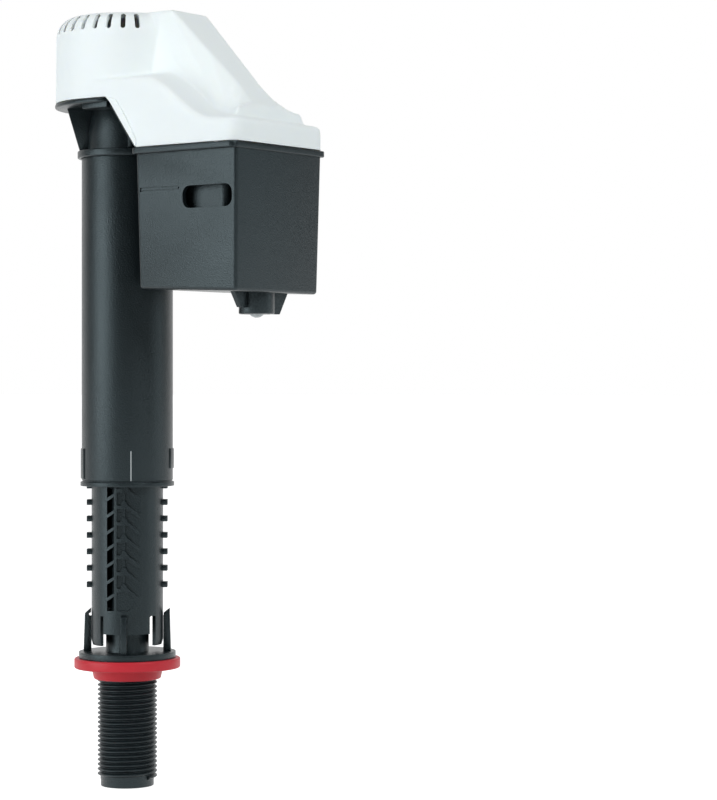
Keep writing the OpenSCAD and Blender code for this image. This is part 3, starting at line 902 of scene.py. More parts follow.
    def _pegs(self, bm: BMesh) -> None:
        """Stands the height pegs up both sides of the sleeve and turns it to its place.

        Args:
            bm: The sleeve.
        """
        peg_r, width, height = self.peg_size
        for row in range(self.notch_rows):
            z = self.peg_first + row * self.notch_pitch - height / 2
            for side in FRONT_AND_BACK:
                peg = bmesh.new()
                block(peg, (self.sleeve_r - self.peg_root, -width / 2, z),
                      (peg_r, width / 2, z + height))
                soften(peg, self.peg_round, segments=2)
                spin_about(peg, side)
                merge(bm, peg)
        spin_about(bm, self.turned)


@dataclass
class HeadTube:
    """Outer tube, collar, flared neck, platform and bridge."""

    round_steps: int = 128
    # Tube
    tube_r: float = 17.7
    tube_wall: float = 1.6
    band_r: float = 18.2
    band_top: float = 72.4
    band_round: float = 0.4
    groove_rows: Flat = (72.6, 73.0)
    groove_depth: float = 0.25
    groove_ease: float = 0.2
    pad_turn: float = 221.0
    pad_sweep: float = 44.0
    pad_steps: int = 14
    pad_rise: float = 0.4
    pad_bottoms: Flat = (73.6, 77.6)
    pad_top: float = 85.4
    pad_round: float = 0.3
    mark_turn: float = -43.6
    mark_rows: Flat = (73.2, 84.6)
    mark_half: float = 0.18
    mark_root: float = 0.3
    mark_rise: float = 0.06
    # Collar and neck
    collar_r: float = 19.3
    collar_rows: Flat = (197.9, 200.7)
    collar_roof: float = 0.7
    collar_gap: float = 0.05
    neck_r: Flat = (15.3, 13.2)
    neck_wall: float = 1.1
    neck_bend: float = 3.0
    neck_round: float = 0.4
    sleeve_reach: float = 210.2
    web_r: Flat = (18.3, 23.4)
    web_turns: tuple[float, ...] = (-135.0, -45.0, 45.0, 135.0)
    web_width: float = 1.6
    web_root: float = 0.6
    web_round: float = 0.2
    boss_start: float = 14.3
    boss_wall: float = 1.2
    boss_depth: float = 2.5
    boss_channel: float = 2.0
    boss_gap: float = 0.1
    boss_round: float = 0.3
    # Platform and what it carries
    platform_r: float = 28.0
    platform_corner: float = 4.5
    platform_front: float = 12.7
    platform_rows: Flat = (217.1, 218.7)
    platform_steps: int = 64
    platform_round: float = 0.6
    pipe_r: float = 10.3
    pipe_cut: float = 40.0
    ledge_x: Flat = (0.6, 13.2)
    ledge_y: Flat = (19.0, 26.4)
    ledge_bottom: float = 215.1
    cup: tuple[float, float, float] = (16.5, 20.2, 226.0)
    bridge_line: tuple[Flat, ...] = ((13.3, 218.7), (15.8, 216.2), (24.4, 204.3), (28.6, 198.7))
    bridge_under: tuple[Flat, ...] = ((26.2, 198.7), (22.4, 203.0), (14.0, 214.8), (11.5, 217.1))
    bridge_half: float = 24.6
    gusset_y: float = 11.0
    gusset_half: float = 1.0
    gusset_foot: float = 204.7
    fitting_round: float = 0.35

    def build(self, shop: Workshop) -> None:
        """Builds and dresses the tube and the head.

        Args:
            shop: The workshop.
        """
        shop.dress(self._tube(shop), Slot.BLACK, "outer_tube", "outer_tube")
        shop.dress(self._mark(shop), Slot.CLEAR, "outer_tube")
        shop.dress(self._neck(shop), Slot.BLACK, "valve_head", "valve_head")
        shop.dress(self._platform(shop), Slot.BLACK, "valve_head", "valve_head")

    def _tube(self, shop: Workshop) -> bpy.types.Object:
        """Turns the tube with its bullnose band and grip pads.

        Args:
            shop: The workshop.

        Returns:
            The tube.
        """
        bottom = reach("outer_tube")[0].z
        top = self.collar_rows[1] - self.collar_roof
        inner = self.tube_r - self.tube_wall
        groove_low, groove_high = self.groove_rows
        groove_r = self.tube_r - self.groove_depth
        bm = bmesh.new()
        turn(bm, [(inner, bottom), (self.band_r, bottom), (self.band_r, self.band_top),
                  (groove_r, groove_low), (groove_r, groove_high),
                  (self.tube_r, groove_high + self.groove_ease), (self.tube_r, top), (inner, top)],
             steps=self.round_steps)
        soften(bm, self.band_round, segments=4, degrees=40)
        root, face = self.tube_r - ROOT, self.tube_r + self.pad_rise
        for side, low in zip(FRONT_AND_BACK, self.pad_bottoms):
            pad = bmesh.new()
            turn(pad, [(root, low), (face, low), (face, self.pad_top), (root, self.pad_top)],
                 steps=self.pad_steps, start=self.pad_turn + side - self.pad_sweep / 2,
                 sweep=self.pad_sweep)
            soften(pad, self.pad_round, segments=2)
            merge(bm, pad)
        return shop.solid(bm, "tube")

    def _mark(self, shop: Workshop) -> bpy.types.Object:
        """Makes the thin upright mark above the band.

        Args:
            shop: The workshop.

        Returns:
            The mark.
        """
        bm = bmesh.new()
        low, high = self.mark_rows
        block(bm, (self.tube_r - self.mark_root, -self.mark_half, low),
              (self.tube_r + self.mark_rise, self.mark_half, high))
        spin_about(bm, self.mark_turn)
        return shop.solid(bm, "tube_mark")

    def _neck(self, shop: Workshop) -> bpy.types.Object:
        """Turns the collar and the neck and sets the flared webs and the boss on it.

        Args:
            shop: The workshop.

        Returns:
            The neck.
        """
        socket = self.tube_r + self.collar_gap
        low, high = self.collar_rows
        seat = high - self.collar_roof
        top = self.platform_rows[0] + ROOT
        foot, head = self.neck_r
        wall = self.neck_wall
        bm = bmesh.new()
        turn(bm, [(socket, low), (self.collar_r, low), (self.collar_r, high), (foot, high),
                  (foot, self.sleeve_reach - self.neck_bend), (head, top), (head - wall, top),
                  (foot - wall, self.sleeve_reach), (foot - wall, seat), (socket, seat)],
             steps=self.round_steps)
        soften(bm, self.neck_round)
        web_foot, web_head = self.web_r
        foot_root, head_root = foot - self.web_root, head - self.web_root
        for degrees in self.web_turns:
            web = bmesh.new()
            plate(web, [(foot_root, high - ROOT), (web_foot, high - ROOT), (web_head, top),
                        (head_root, top), (foot_root, self.sleeve_reach)],
                  -self.web_width / 2, self.web_width / 2)
            soften(web, self.web_round, segments=2)
            spin_about(web, degrees)
            merge(bm, web)
        merge(bm, self._boss())
        return shop.solid(bm, "neck")

    def _boss(self) -> BMesh:
        """Makes the hollow boss on the neck that holds the refill nipple.

        Returns:
            The boss.
        """
        low, high = reach("refill_nipple")
        bore = (high.z - low.z) / 2 + self.boss_gap
        radius = bore + self.boss_wall
        seat, end = low.y - self.boss_gap, low.y + self.boss_depth
        bm = bmesh.new()
        turn(bm, [(self.boss_channel, self.boss_start), (radius, self.boss_start), (radius, end),
                  (bore, end), (bore, seat), (self.boss_channel, seat)])
        soften(bm, self.boss_round)
        lift = Matrix.Translation((0, 0, (low.z + high.z) / 2))
        lay_down = Matrix.Rotation(-math.pi / 2, 4, "X")
        bmesh.ops.transform(bm, matrix=lift @ lay_down, verts=bm.verts)
        return bm

    def _slab(self) -> BMesh:
        """Makes the platform's plate: half round at the back, straight at the front.

        Returns:
            The plate.
        """
        low, high = self.platform_rows
        bm = bmesh.new()
        start = bm.verts.new((0.0, self.platform_r, low))
        bmesh.ops.spin(bm, geom=[start], cent=(0, 0, 0), axis=(0, 0, 1), angle=math.pi,
                       steps=self.platform_steps)
        ends = [v for v in bm.verts if len(v.link_edges) == 1]
        ends.sort(key=lambda v: -v.co.y)
        front = [bm.verts.new((self.platform_front, v.co.y, low)) for v in ends]
        for pair in ((ends[0], front[0]), (front[0], front[1]), (front[1], ends[1])):
            bm.edges.new(pair)
        face = bmesh.ops.contextual_create(bm, geom=list(bm.edges))["faces"]
        thicken(bm, face, (0, 0, high - low))
        soften(bm, self.platform_corner, segments=8, degrees=60, pick=along(Axis.Z))
        soften(bm, self.platform_round)
        return bm

    def _platform(self, shop: Workshop) -> bpy.types.Object:
        """Bores the platform's plate for the pipe and adds its fittings.

        Args:
            shop: The workshop.

        Returns:
            The platform.
        """
        platform = shop.solid(self._slab(), "platform")
        shop.work(platform, Join.CUT, rod(self.pipe_r, self.platform_rows[1], self.pipe_cut))
        shop.amend(platform, lambda bm: merge(bm, self._fittings()))
        return platform

    def _fittings(self) -> BMesh:
        """Makes the diaphragm cup, the ledges, the bridge to the chamber and its gussets.

        Returns:
            The fittings.
        """
        low, high = self.platform_rows
        cup_in, cup_r, cup_top = self.cup
        bm = bmesh.new()
        turn(bm, [(cup_in, high - ROOT), (cup_r, high - ROOT), (cup_r, cup_top), (cup_in, cup_top)])
        for side in (-1.0, 1.0):
            inner, outer = sorted(side * y for y in self.ledge_y)
            block(bm, (self.ledge_x[0], inner, self.ledge_bottom),
                  (self.ledge_x[1], outer, low + ROOT))
        plate(bm, [*self.bridge_line, *self.bridge_under], -self.bridge_half, self.bridge_half)
        foot, bend, head = self.bridge_under[1:]
        for y in (-self.gusset_y, self.gusset_y):
            plate(bm, [(head[0], low + ROOT), (bend[0] + ROOT, bend[1]), (foot[0] + ROOT, foot[1]),
                       (self.neck_r[0] - self.web_root, self.gusset_foot)],
                  y - self.gusset_half, y + self.gusset_half)
        soften(bm, self.fitting_round, segments=2)
        return bm


@dataclass
class FloatBox:
    """Float chamber with its rim, level slot, level bar and drain nipple."""

    # Box and rim
    x: Flat = (26.9, 75.9)
    half: float = 25.5
    draft: float = 1.05
    floor: float = 146.0
    floor_drop: float = 1.8
    wall: float = 2.0
    corner: float = 1.3
    rim_x: Flat = (26.0, 76.7)
    rim_half: float = 28.0
    rim_rows: Flat = (196.4, 198.7)
    rim_corner: float = 3.0
    rim_round: float = 0.4
    hollow_over: float = 2.0
    # Level slot and bar
    slot_x: Flat = (49.9, 73.6)
    slot_rows: Flat = (175.2, 183.5)
    slot_corner: float = 3.2
    slot_cut: Flat = (4.0, 5.0)
    bar_x: Flat = (29.0, 48.4)
    bar_rows: Flat = (182.2, 183.75)
    bar_groove: float = 0.5
    bar_root: float = 1.0
    # Drain nipple
    drain_x: float = 64.8
    drain_r: float = 6.7
    drain_bottom: float = 136.4
    drain_in: float = 4.6
    drain_seat: float = 0.7
    drain_hole: float = 2.8
    drain_through: float = 20.0
    drain_steps: int = 72
    drain_round: float = 0.5
    gusset_root: float = 5.6
    gusset_half: float = 1.0
    gussets: tuple[tuple[float, float, float], ...] = ((-10.4, -14.6, 2.4), (12.6, 17.8, 0.2))

    def build(self, shop: Workshop) -> None:
        """Builds and dresses the chamber."""
        shop.dress(self._chamber(shop), Slot.BLACK, "float_chamber", "float_chamber")

    def _pull(self, z: float) -> float:
        """Gives how far the draft has pulled the walls in at a height."""
        rim = self.rim_rows[1]
        return self.draft * (rim - z) / (rim - self.floor)

    def _shell(self, inset: float, top: float) -> BMesh:
        """Makes the tapering box, with walls and floor pulled in by an inset.

        Args:
            inset: How far every wall is pulled in and the floor is raised.
            top: Height of the box's top.

        Returns:
            The box.
        """
        bm = bmesh.new()
        for v in block(bm, (-1, -1, -1), (1, 1, 1)):
            at_front, at_top = v.co.x > 0, v.co.z > 0
            floor = self.floor - (self.floor_drop if at_front else 0.0) + inset
            v.co.z = top if at_top else floor
            pull = inset + self._pull(v.co.z)
            v.co.x = self.x[1] - pull if at_front else self.x[0] + pull
            v.co.y = math.copysign(self.half - pull, v.co.y)
        return bm

    def _chamber(self, shop: Workshop) -> bpy.types.Object:
        """Joins box, rim and nipple, then hollows them and cuts the slot.

        Args:
            shop: The workshop.

        Returns:
            The chamber.
        """
        rim_low, rim_top = self.rim_rows
        shell = self._shell(0.0, rim_top)
        soften(shell, self.corner, segments=4,
               pick=lambda e: min(v.co.z for v in e.verts) < rim_low)
        chamber = shop.solid(shell, "chamber")
        shop.work(chamber, Join.ADD, self._rim(), self._nipple(),
                  *(self._drain_gusset(*gusset) for gusset in self.gussets))
        ball_room = self.floor - self.floor_drop - self.drain_bottom + self.drain_seat
        shop.work(chamber, Join.CUT, self._shell(self.wall, rim_top + self.hollow_over),
                  self._bore(self.drain_in, self.drain_bottom - OVERRUN, ball_room),
                  self._bore(self.drain_hole, self.drain_bottom, self.drain_through),
                  self._slot_tool(), self._bar_block(0.0, self.bar_groove, self.half))
        shop.work(chamber, Join.ADD, self._bar_block(self.bar_groove, self.bar_root, 0.0))
        return chamber

    def _rim(self) -> BMesh:
        """Makes the rim as a solid plate.

        Returns:
            The plate.
        """
        low, high = self.rim_rows
        bm = bmesh.new()
        block(bm, (self.rim_x[0], -self.rim_half, low), (self.rim_x[1], self.rim_half, high))
        soften(bm, self.rim_corner, segments=6, pick=along(Axis.Z))
        soften(bm, self.rim_round, degrees=60)
        return bm

    def _nipple(self) -> BMesh:
        """Makes the drain nipple as a solid peg.

        Returns:
            The peg.
        """
        length = self.floor - self.drain_bottom
        middle = self.drain_bottom + length / 2
        bm = rod(self.drain_r, middle, length, self.drain_x, self.drain_steps)
        limit = self.drain_bottom + OVERRUN
        soften(bm, self.drain_round, pick=lambda e: max(v.co.z for v in e.verts) < limit)
        return bm

    def _bore(self, radius: float, bottom: float, height: float) -> BMesh:
        """Makes a round cutter on the drain's axis."""
        return rod(radius, bottom + height / 2, height, self.drain_x)

    def _drain_gusset(self, foot: float, head: float, lift: float) -> BMesh:
        """Makes the small web on one side of the nipple.

        Args:
            foot: Sideways reach of its lower edge.
            head: Sideways reach at the chamber floor.
            lift: Height of its lower edge over the nipple's end.

        Returns:
            The web.
        """
        bm = bmesh.new()
        top = self.floor - self.floor_drop + OVERRUN
        root = math.copysign(self.gusset_root, foot)
        bottom = self.drain_bottom + lift
        outline = [(root, bottom), (foot, bottom), (head, top), (root, top)]
        prism(bm, [(self.drain_x - self.gusset_half, y, z) for y, z in outline],
              (2 * self.gusset_half, 0.0, 0.0))
        return bm

    def _slot_tool(self) -> BMesh:
        """Makes the round-cornered cutter of the level slot.

        Returns:
            The cutter.
        """
        bm = bmesh.new()
        outside, inside = self.slot_cut
        block(bm, (self.slot_x[0], -self.half - outside, self.slot_rows[0]),
              (self.slot_x[1], inside - self.half, self.slot_rows[1]))
        soften(bm, self.slot_corner, segments=8, pick=along(Axis.Y))
        return bm

    def _bar_block(self, inset: float, depth: float, rise: float) -> BMesh:
        """Makes a block on the outline of the water-level bar.

        Args:
            inset: How far it is pulled in from the bar's outline.
            depth: How far it goes into the wall.
            rise: How far it stands out of the wall.

        Returns:
            The block.
        """
        bm = bmesh.new()
        low, high = self.bar_rows
        face = self._pull((low + high) / 2) - self.half
        block(bm, (self.bar_x[0] + inset, face - rise, low + inset),
              (self.bar_x[1] - inset, face + depth, high - inset))
        return bm


@dataclass(frozen=True)
class RidgeStation:
    """Cross-section of the cap's ridge at one place along X."""

    x: float
    top: float
    top_half: float
    middle: float
    middle_half: float
    foot: float
    foot_half: float

    # How many walls the inner form steps back, on the level and on the slope, and at each height.
    LEVEL_STEP = 0.7
    SLOPE_STEP = 1.4
    MIDDLE_STEP = 1.5
    FOOT_STEP = 1.8

    def ring(self, crest: float, inset: float) -> list[Vector]:
        """Gives the corners of the section, pulled in by a wall.

        Args:
            crest: Height of the ridge's level start.
            inset: The wall.

        Returns:
            Six corners.
        """
        level = self.top > crest - NEAR
        x = self.x - (self.LEVEL_STEP if level else self.SLOPE_STEP) * inset
        side = [(self.top_half - inset, self.top - (inset if level else 0.0)),
                (self.middle_half - self.MIDDLE_STEP * inset, self.middle),
                (self.foot_half - self.FOOT_STEP * inset, self.foot)]
        right = [Vector((x, half, z)) for half, z in side]
        left = [Vector((x, -half, z)) for half, z in reversed(side)]
        return right + left


@dataclass
class VentedCap:
    """White cap: vented dome, cheeks, sloping ridge and stepped front."""

    # Dome, skirt and lower edge
    top: float = 252.3
    dome_r: float = 27.7
    dome_taper: float = 0.3
    dome_fillet: float = 8.0
    dome_steps: int = 128
    base: float = 219.0
    skirt: float = 199.0
    hidden_depth: float = 6.0
    edge: tuple[Flat, ...] = ((29.0, 199.0), (24.8, 204.6), (16.2, 216.5), (13.7, 219.0))
    edge_cut: Flat = (120.0, 30.0)
    lip: tuple[Flat, ...] = ((18.7, 217.6), (22.4, 212.9), (26.6, 206.3), (29.0, 201.6))
    lip_rise: float = 0.6
    lip_depth: float = 1.2
    lip_round: float = 0.2
    # Cheeks, brow and apron
    front: float = 76.7
    half: float = 28.0
    corner: float = 5.5
    corner_least: float = 0.8
    corner_share: float = 0.29
    top_edge: float = 2.2
    top_edge_least: float = 0.6
    cheek_x: Flat = (31.0, 66.0)
    cheek_z: Flat = (225.6, 208.0)
    cheek_back: float = -1.0
    cheek_steps: int = 14
    brow_sides: Flat = (26.0, 14.0)
    brow_rise: float = 2.4
    brow_front: float = 68.0
    apron_inset: Flat = (1.2, 8.0)
    apron_rise: float = 1.6
    apron_sink: float = 0.4
    apron_back: float = 20.0
    # Ridge
    ridge: tuple[RidgeStation, ...] = (
        RidgeStation(0.0, 252.3, 10.6, 237.0, 12.3, 222.0, 14.0),
        RidgeStation(31.9, 252.3, 10.6, 237.0, 12.3, 222.0, 14.0),
        RidgeStation(50.0, 234.2, 8.4, 224.0, 11.8, 214.0, 15.2),
        RidgeStation(60.5, 223.7, 7.0, 214.5, 12.6, 208.0, 17.2),
        RidgeStation(64.2, 219.9, 7.2, 212.8, 13.8, 206.0, 18.8),
        RidgeStation(67.0, 217.1, 7.5, 212.2, 15.4, 206.0, 20.4),
        RidgeStation(69.4, 215.1, 7.8, 212.3, 17.2, 206.0, 21.4),
        RidgeStation(71.5, 213.7, 8.0, 212.8, 18.6, 206.0, 22.0))
    ridge_round: float = 0.8
    ridge_round_above: float = 207.0
    # Wall, vents and the melt that joins the volumes
    wall: float = 2.0
    vent_count: int = 25
    vent_pitch: float = 11.67
    vent_width: float = 1.95
    vent_rows: Flat = (245.2, 251.2)
    vent_cut: Flat = (9.0, 4.0)
    vent_roundness: float = 0.98
    voxel: float = 0.5
    inner_voxel: float = 1.0
    ease_factor: float = 0.5
    ease_rounds: int = 26
    inner_ease_rounds: int = 6

    def build(self, shop: Workshop) -> None:
        """Builds and dresses the cap.

        Args:
            shop: The workshop.
        """
        cap = self._form(shop, 0.0, self.voxel, self.ease_rounds)
        shop.work(cap, Join.ADD, self._lips())
        shop.work(cap, Join.CUT, self._below())
        hollow = self._form(shop, self.wall, self.inner_voxel, self.inner_ease_rounds)
        shop.combine(cap, hollow, Join.CUT)
        shop.work(cap, Join.CUT, self._vents())
        cap.name = "vented_cap"
        shop.dress(cap, Slot.WHITE, "cap", "cap")

    def _cheek(self, x: float) -> float:
        """Gives the height of the cheek beside the ridge.

        Args:
            x: The place along the cap.

        Returns:
            The height.
        """
        start, end = self.cheek_x
        share = min(1.0, max(0.0, (x - start) / (end - start)))
        high, low = self.cheek_z
        return low + (high - low) * (1 + math.cos(math.pi * share)) / 2

    def _cheek_outline(self, front: float, lift: float) -> list[Flat]:
        """Draws the side view of a cheek.

        Args:
            front: Where it ends.
            lift: How much higher than the cheek line it is.

        Returns:
            Corners as X and Z.
        """
        start, end = self.cheek_x
        bottom = self.skirt - self.hidden_depth
        shares = [i / self.cheek_steps for i in range(self.cheek_steps + 1)]
        line = [start + share * (end - start) for share in shares]
        tops = [(x, self._cheek(x) + lift) for x in line if x < front - OVERRUN]
        return [(self.cheek_back, bottom), (self.cheek_back, self.cheek_z[0] + lift), *tops,
                (front, self.cheek_z[1] + lift), (front, bottom)]

    def _form(self, shop: Workshop, inset: float, voxel: float, rounds: int) -> bpy.types.Object:
        """Melts the cap's volumes into one smooth solid.

        Args:
            shop: The workshop.
            inset: How far every surface is pulled in.
            voxel: Size of the melt's grid.
            rounds: Smoothing rounds.

        Returns:
            The solid.
        """
        form = bmesh.new()
        for volume in (self._dome, self._cheek_block, self._brow, self._apron, self._ridge):
            merge(form, volume(inset))
        made = shop.solid(form, "cap_form")
        melt = made.modifiers.new("melt", "REMESH")
        melt.mode = "VOXEL"
        melt.voxel_size = voxel * MM
        ease = made.modifiers.new("ease", "SMOOTH")
        ease.factor = self.ease_factor
        ease.iterations = rounds
        shop.settle(made)
        return made

    def _dome(self, inset: float) -> BMesh:
        """Turns the round back of the cap.

        Args:
            inset: How far every surface is pulled in.

        Returns:
            The dome.
        """
        bm = bmesh.new()
        top, bottom = self.top - inset, self.base - self.hidden_depth
        turn(bm, [(0.0, bottom), (self.dome_r - inset, bottom),
                  (self.dome_r - self.dome_taper - inset, top), (0.0, top)], steps=self.dome_steps)
        soften(bm, self.dome_fillet - inset, segments=10, degrees=60,
               pick=past(Axis.Z, top - OVERRUN))
        return bm

    def _cheek_block(self, inset: float) -> BMesh:
        """Makes the cheeks and the skirt under a flowing top, with rounded edges.

        Args:
            inset: How far every surface is pulled in.

        Returns:
            The block.
        """
        bm = bmesh.new()
        end = self.front - inset
        half = self.half - self.lip_rise - inset
        plate(bm, self._cheek_outline(end, -inset), -half, half)
        at_end, upright = past(Axis.X, end - NEAR), along(Axis.Z)
        soften(bm, max(self.corner_least, self.corner - inset), segments=8, degrees=50,
               pick=lambda e: at_end(e) and upright(e))
        off_bottom = past(Axis.Z, self.skirt - self.hidden_depth + OVERRUN)
        off_back = past(Axis.X, self.cheek_back + NEAR)
        soften(bm, max(self.top_edge_least, self.top_edge - inset), segments=5, degrees=50,
               pick=lambda e: off_bottom(e) and off_back(e))
        return bm

    def _brow(self, inset: float) -> BMesh:
        """Makes the cheeks' tops that lean up towards the ridge.

        Args:
            inset: How far every surface is pulled in.

        Returns:
            The tops, as one solid.
        """
        bm = bmesh.new()
        outer, inner = self.brow_sides
        lifts = ((-outer, 0.0), (-inner, self.brow_rise), (inner, self.brow_rise), (outer, 0.0))
        rings = []
        for y, lift in lifts:
            outline = self._cheek_outline(self.brow_front - inset, lift - inset)
            rings.append([Vector((x, y, z)) for x, z in outline])
        loft(bm, rings)
        return bm

    def _apron(self, inset: float) -> BMesh:
        """Makes the low roof that leans out to the shelf's edges.

        Args:
            inset: How far every surface is pulled in.

        Returns:
            The roof.
        """
        bm = bmesh.new()
        edge, rise = self.apron_inset
        low = self.cheek_z[1] - self.apron_sink - inset
        cut, soft = self.corner, self.corner_share * self.corner
        rings = []
        for shrink, z in ((edge, self.skirt), (edge, low), (rise, low + self.apron_rise)):
            far = self.front - shrink - inset
            side = self.half - shrink - inset
            half_ring = [Vector((self.apron_back, -side, z)), Vector((far - cut, -side, z)),
                         Vector((far - soft, soft - side, z)), Vector((far, cut - side, z))]
            rings.append(half_ring + [Vector((v.x, -v.y, v.z)) for v in reversed(half_ring)])
        loft(bm, rings)
        return bm

    def _ridge(self, inset: float) -> BMesh:
        """Makes the tapering ridge that slopes from the dome and spreads at its foot.

        Args:
            inset: How far every surface is pulled in.

        Returns:
            The ridge.
        """
        bm = bmesh.new()
        loft(bm, [station.ring(self.top, inset) for station in self.ridge])
        soften(bm, self.ridge_round, degrees=40, pick=past(Axis.Z, self.ridge_round_above))
        return bm

    def _lips(self) -> BMesh:
        """Makes the flat lips along the slanted edges of both cheeks.

        Returns:
            Both lips.
        """
        bm = bmesh.new()
        for side in (-1.0, 1.0):
            low, high = sorted((side * (self.half - self.lip_depth), side * self.half))
            lip = bmesh.new()
            plate(lip, [*self.edge, *self.lip], low, high)
            soften(lip, self.lip_round, segments=2)
            merge(bm, lip)
        return bm

    def _below(self) -> BMesh:
        """Makes the cutter under the cap's lower edge.

        Returns:
            The cutter.
        """
        bm = bmesh.new()
        far, drop = self.edge_cut
        deep = self.skirt - drop
        plate(bm, [(-far, deep), (far, deep), (far, self.skirt), *self.edge, (-far, self.base)],
              -far, far)
        return bm

    def _vents(self) -> BMesh:
        """Makes the round-ended cutters of the vents.

        Returns:
            All the cutters.
        """
        bm = bmesh.new()
        half = self.vent_width / 2
        low, high = self.vent_rows
        inside, outside = self.vent_cut
        for i in range(self.vent_count):
            vent = bmesh.new()
            block(vent, (self.dome_r - inside, -half, low), (self.dome_r + outside, half, high))
            soften(vent, self.vent_roundness * half, segments=4, pick=along(Axis.X))
            spin_about(vent, FULL_TURN / 2 + self.vent_pitch * (i - (self.vent_count - 1) / 2))
            merge(bm, vent)
        return bm


@dataclass(frozen=True)
class Lamp:
    """One soft round lamp that faces the object.

    Turn and height are its angles about Z and above the floor, in degrees. Distance is taken from
    the object's middle and size is the lamp's width, both in metres. Power is in watts.
    """

    name: str
    turn: float
    height: float
    distance: float
    size: float
    power: float
    tint: Colour = (1.0, 1.0, 1.0)

    def hang(self, middle: Vector) -> None:
        """Adds the lamp.

        Args:
            middle: The object's middle, in metres.
        """
        data = bpy.data.lights.new(self.name, "AREA")
        data.color = self.tint
        data.shape = "DISK"
        data.size = self.size
        data.energy = self.power
        lamp = bpy.data.objects.new(self.name, data)
        around, up = math.radians(self.turn), math.radians(self.height)
        level = math.cos(up)
        ray = Vector((math.cos(around) * level, math.sin(around) * level, math.sin(up)))
        lamp.location = middle + ray * self.distance
        lamp.rotation_euler = ray.to_track_quat("Z", "Y").to_euler()
        bpy.context.scene.collection.objects.link(lamp)


@dataclass
class Studio:
    """Camera, lamps, floor and background; sizes of floor and screen are in metres."""

    # Camera, fitted to the photograph
    image_height: int = 800
    focal_px: float = 2489.6
    horizon_px: float = 388.0
    sensor: float = 36.0
    axis_distance: float = 974.3
    side_step: float = 8.73
    eye: float = 108.8
    view_turn: float = 41.5
    aim_turn: float = 36.71
    # Light
    lamps: tuple[Lamp, ...] = (
        Lamp("key", turn=-84.0, height=54.0, distance=1.3, size=0.7, power=2.6),
        Lamp("left_wall", turn=-116.0, height=7.0, distance=1.2, size=0.9, power=9.7,
             tint=(0.93, 0.98, 1.0)),
        Lamp("right_wall", turn=40.0, height=4.0, distance=1.4, size=0.6, power=1.6,
             tint=(0.86, 0.96, 1.0)),
        Lamp("fill", turn=-8.0, height=34.0, distance=1.5, size=0.9, power=11.6,
             tint=(0.95, 0.99, 1.0)))
    middle: tuple[float, float, float] = (0.02, 0.0, 0.12)
    world_light: float = 0.12
    # Floor
    floor_half: float = 40.0
    floor_gap: float = 0.0004
    floor_grey: float = 0.8
    floor_roughness: float = 0.9
    floor_glow: float = 0.93
    # Dark screen
    screen_distance: float = 2.2
    screen_rows: Flat = (-1.0, 3.0)
    screen_sweep: float = 240.0
    screen_steps: int = 48
    screen_grey: float = 0.01
    screen_roughness: float = 1.0

    def build(self) -> None:
        """Sets up the whole stage."""
        scene = bpy.context.scene
        scene.view_settings.view_transform = "Standard"
        self._camera(scene)
        for lamp in self.lamps:
            lamp.hang(Vector(self.middle))
        self._dark_screen(scene)
        self._background(scene)
        self._floor(scene)

    def _camera(self, scene: bpy.types.Scene) -> None:
        """Places the camera at the photograph's angle.

        Args:
            scene: The scene.
        """
        data = bpy.data.cameras.new("camera")
        data.sensor_width = self.sensor
        data.lens = self.focal_px / self.image_height * self.sensor
        data.shift_y = (self.horizon_px - self.image_height / 2) / self.image_height
        angle = math.radians(self.view_turn)
        away = Vector((math.sin(angle), -math.cos(angle), 0.0))
        across = Vector((math.cos(angle), math.sin(angle), 0.0))
        place = away * self.axis_distance + across * self.side_step + Vector((0, 0, self.eye))
        camera = bpy.data.objects.new("camera", data)
        camera.location = place * MM
        camera.rotation_euler = (math.pi / 2, 0.0, math.radians(self.aim_turn))
        scene.collection.objects.link(camera)
        scene.camera = camera

    @staticmethod
    def _seen(tree: bpy.types.NodeTree) -> bpy.types.NodeSocket:
        """Tells which rays see the background: direct, mirrored and through glass.

        Args:
            tree: Where the nodes go.

        Returns:
            A socket that is 1 for those rays and 0 for the others.
        """
        rays = tree.nodes.new("ShaderNodeLightPath")
        result = rays.outputs["Is Camera Ray"]
        for kind in ("Is Glossy Ray", "Is Transmission Ray"):
            either = tree.nodes.new("ShaderNodeMath")
            either.operation = "MAXIMUM"
            tree.links.new(result, either.inputs[0])
            tree.links.new(rays.outputs[kind], either.inputs[1])
            result = either.outputs[0]
        return result

    def _background(self, scene: bpy.types.Scene) -> None:
        """Shows white behind the object and lights it softly from all round.

        Args:
            scene: The scene.
        """
        world = bpy.data.worlds.new("studio")
        world.use_nodes = True
        nodes, links = world.node_tree.nodes, world.node_tree.links
        level = nodes.new("ShaderNodeMapRange")
        level.inputs["To Min"].default_value = self.world_light
        level.inputs["To Max"].default_value = 1.0
        links.new(self._seen(world.node_tree), level.inputs["Value"])
        links.new(level.outputs["Result"], nodes["Background"].inputs["Strength"])
        nodes["Background"].inputs["Color"].default_value = (1.0, 1.0, 1.0, 1.0)
        scene.world = world

    @staticmethod
    def _paint(name: str, grey: float, roughness: float) -> bpy.types.Material:
        """Makes a plain grey paint for the stage.

        Args:
            name: The material's name.
            grey: How light it is.
            roughness: How matt it is.

        Returns:
            The paint.
        """
        paint = bpy.data.materials.new(name)
        paint.use_nodes = True
        shader = paint.node_tree.nodes["Principled BSDF"]
        shader.inputs["Base Color"].default_value = (grey, grey, grey, 1.0)
        shader.inputs["Roughness"].default_value = roughness
        return paint

    @staticmethod
    def _stand(scene: bpy.types.Scene, bm: BMesh, name: str,
               paint: bpy.types.Material) -> bpy.types.Object:
        """Puts a bmesh in metres on the stage.

        Args:
            scene: The scene.
            bm: The bmesh, which is freed.
            name: The object's name.
            paint: Its material.

        Returns:
            The object.
        """
        mesh = bpy.data.meshes.new(name)
        bm.to_mesh(mesh)
        bm.free()
        mesh.materials.append(paint)
        made = bpy.data.objects.new(name, mesh)
        scene.collection.objects.link(made)
        return made

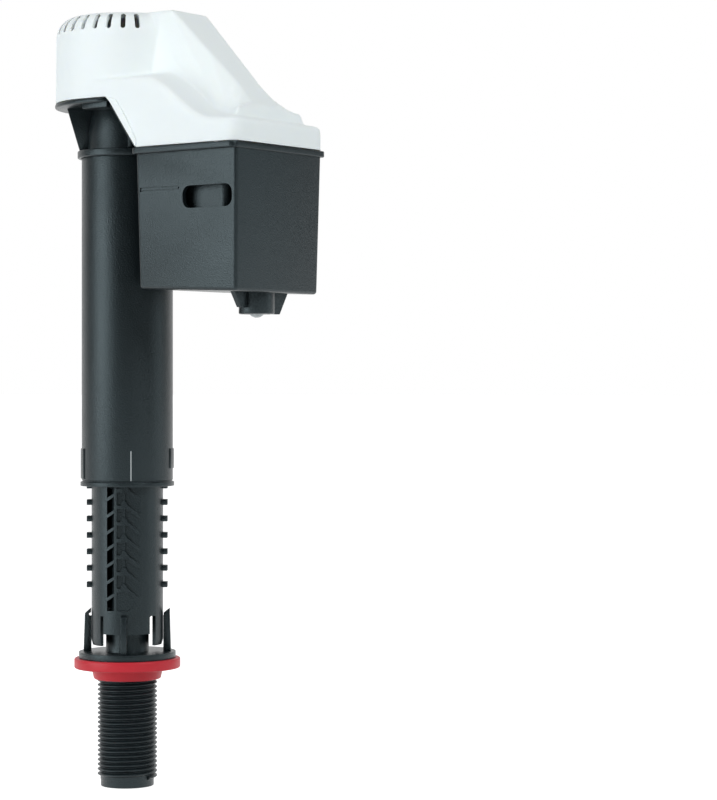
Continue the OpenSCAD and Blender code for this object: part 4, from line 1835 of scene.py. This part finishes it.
    def _dark_screen(self, scene: bpy.types.Scene) -> None:
        """Stands a dark curved screen round the camera, which only the plastic's gloss sees.

        Args:
            scene: The scene.
        """
        bm = bmesh.new()
        ends = [bm.verts.new((self.screen_distance, 0.0, z)) for z in self.screen_rows]
        edge = bm.edges.new(ends)
        spin_about(bm, self.view_turn - FULL_TURN / 4 - self.screen_sweep / 2, ends)
        bmesh.ops.spin(bm, geom=[*ends, edge], cent=(0, 0, 0), axis=(0, 0, 1),
                       steps=self.screen_steps, angle=math.radians(self.screen_sweep))
        paint = self._paint("screen_paint", self.screen_grey, self.screen_roughness)
        screen = self._stand(scene, bm, "dark_screen", paint)
        screen.visible_camera = False
        screen.visible_diffuse = False
        screen.visible_transmission = False
        screen.visible_shadow = False
        screen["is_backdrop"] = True

    def _floor(self, scene: bpy.types.Scene) -> None:
        """Lays a plain white floor that keeps the object's shadow.

        Args:
            scene: The scene.
        """
        bm = bmesh.new()
        bmesh.ops.create_grid(bm, x_segments=1, y_segments=1, size=self.floor_half)
        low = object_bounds()[0][2] - self.floor_gap
        bmesh.ops.translate(bm, vec=(0, 0, low), verts=bm.verts)
        paint = self._paint("floor_paint", self.floor_grey, self.floor_roughness)
        nodes, links = paint.node_tree.nodes, paint.node_tree.links
        shader = nodes["Principled BSDF"]
        shader.inputs["Emission Color"].default_value = (1.0, 1.0, 1.0, 1.0)
        glow = nodes.new("ShaderNodeMath")
        glow.operation = "MULTIPLY"
        glow.inputs[1].default_value = self.floor_glow
        links.new(self._seen(paint.node_tree), glow.inputs[0])
        links.new(glow.outputs[0], shader.inputs["Emission Strength"])
        floor = self._stand(scene, bm, "floor", paint)
        floor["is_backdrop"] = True


def main() -> None:
    """Builds every sub-assembly around the frame."""
    logging.basicConfig(level=logging.INFO, format="%(name)s: %(message)s")
    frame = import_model()
    shop = Workshop(frame)
    shop.dress_nodes()
    for assembly in (RiserBase(), HeadTube(), FloatBox(), VentedCap()):
        assembly.build(shop)
    Studio().build()


if __name__ == "__main__":
    main()
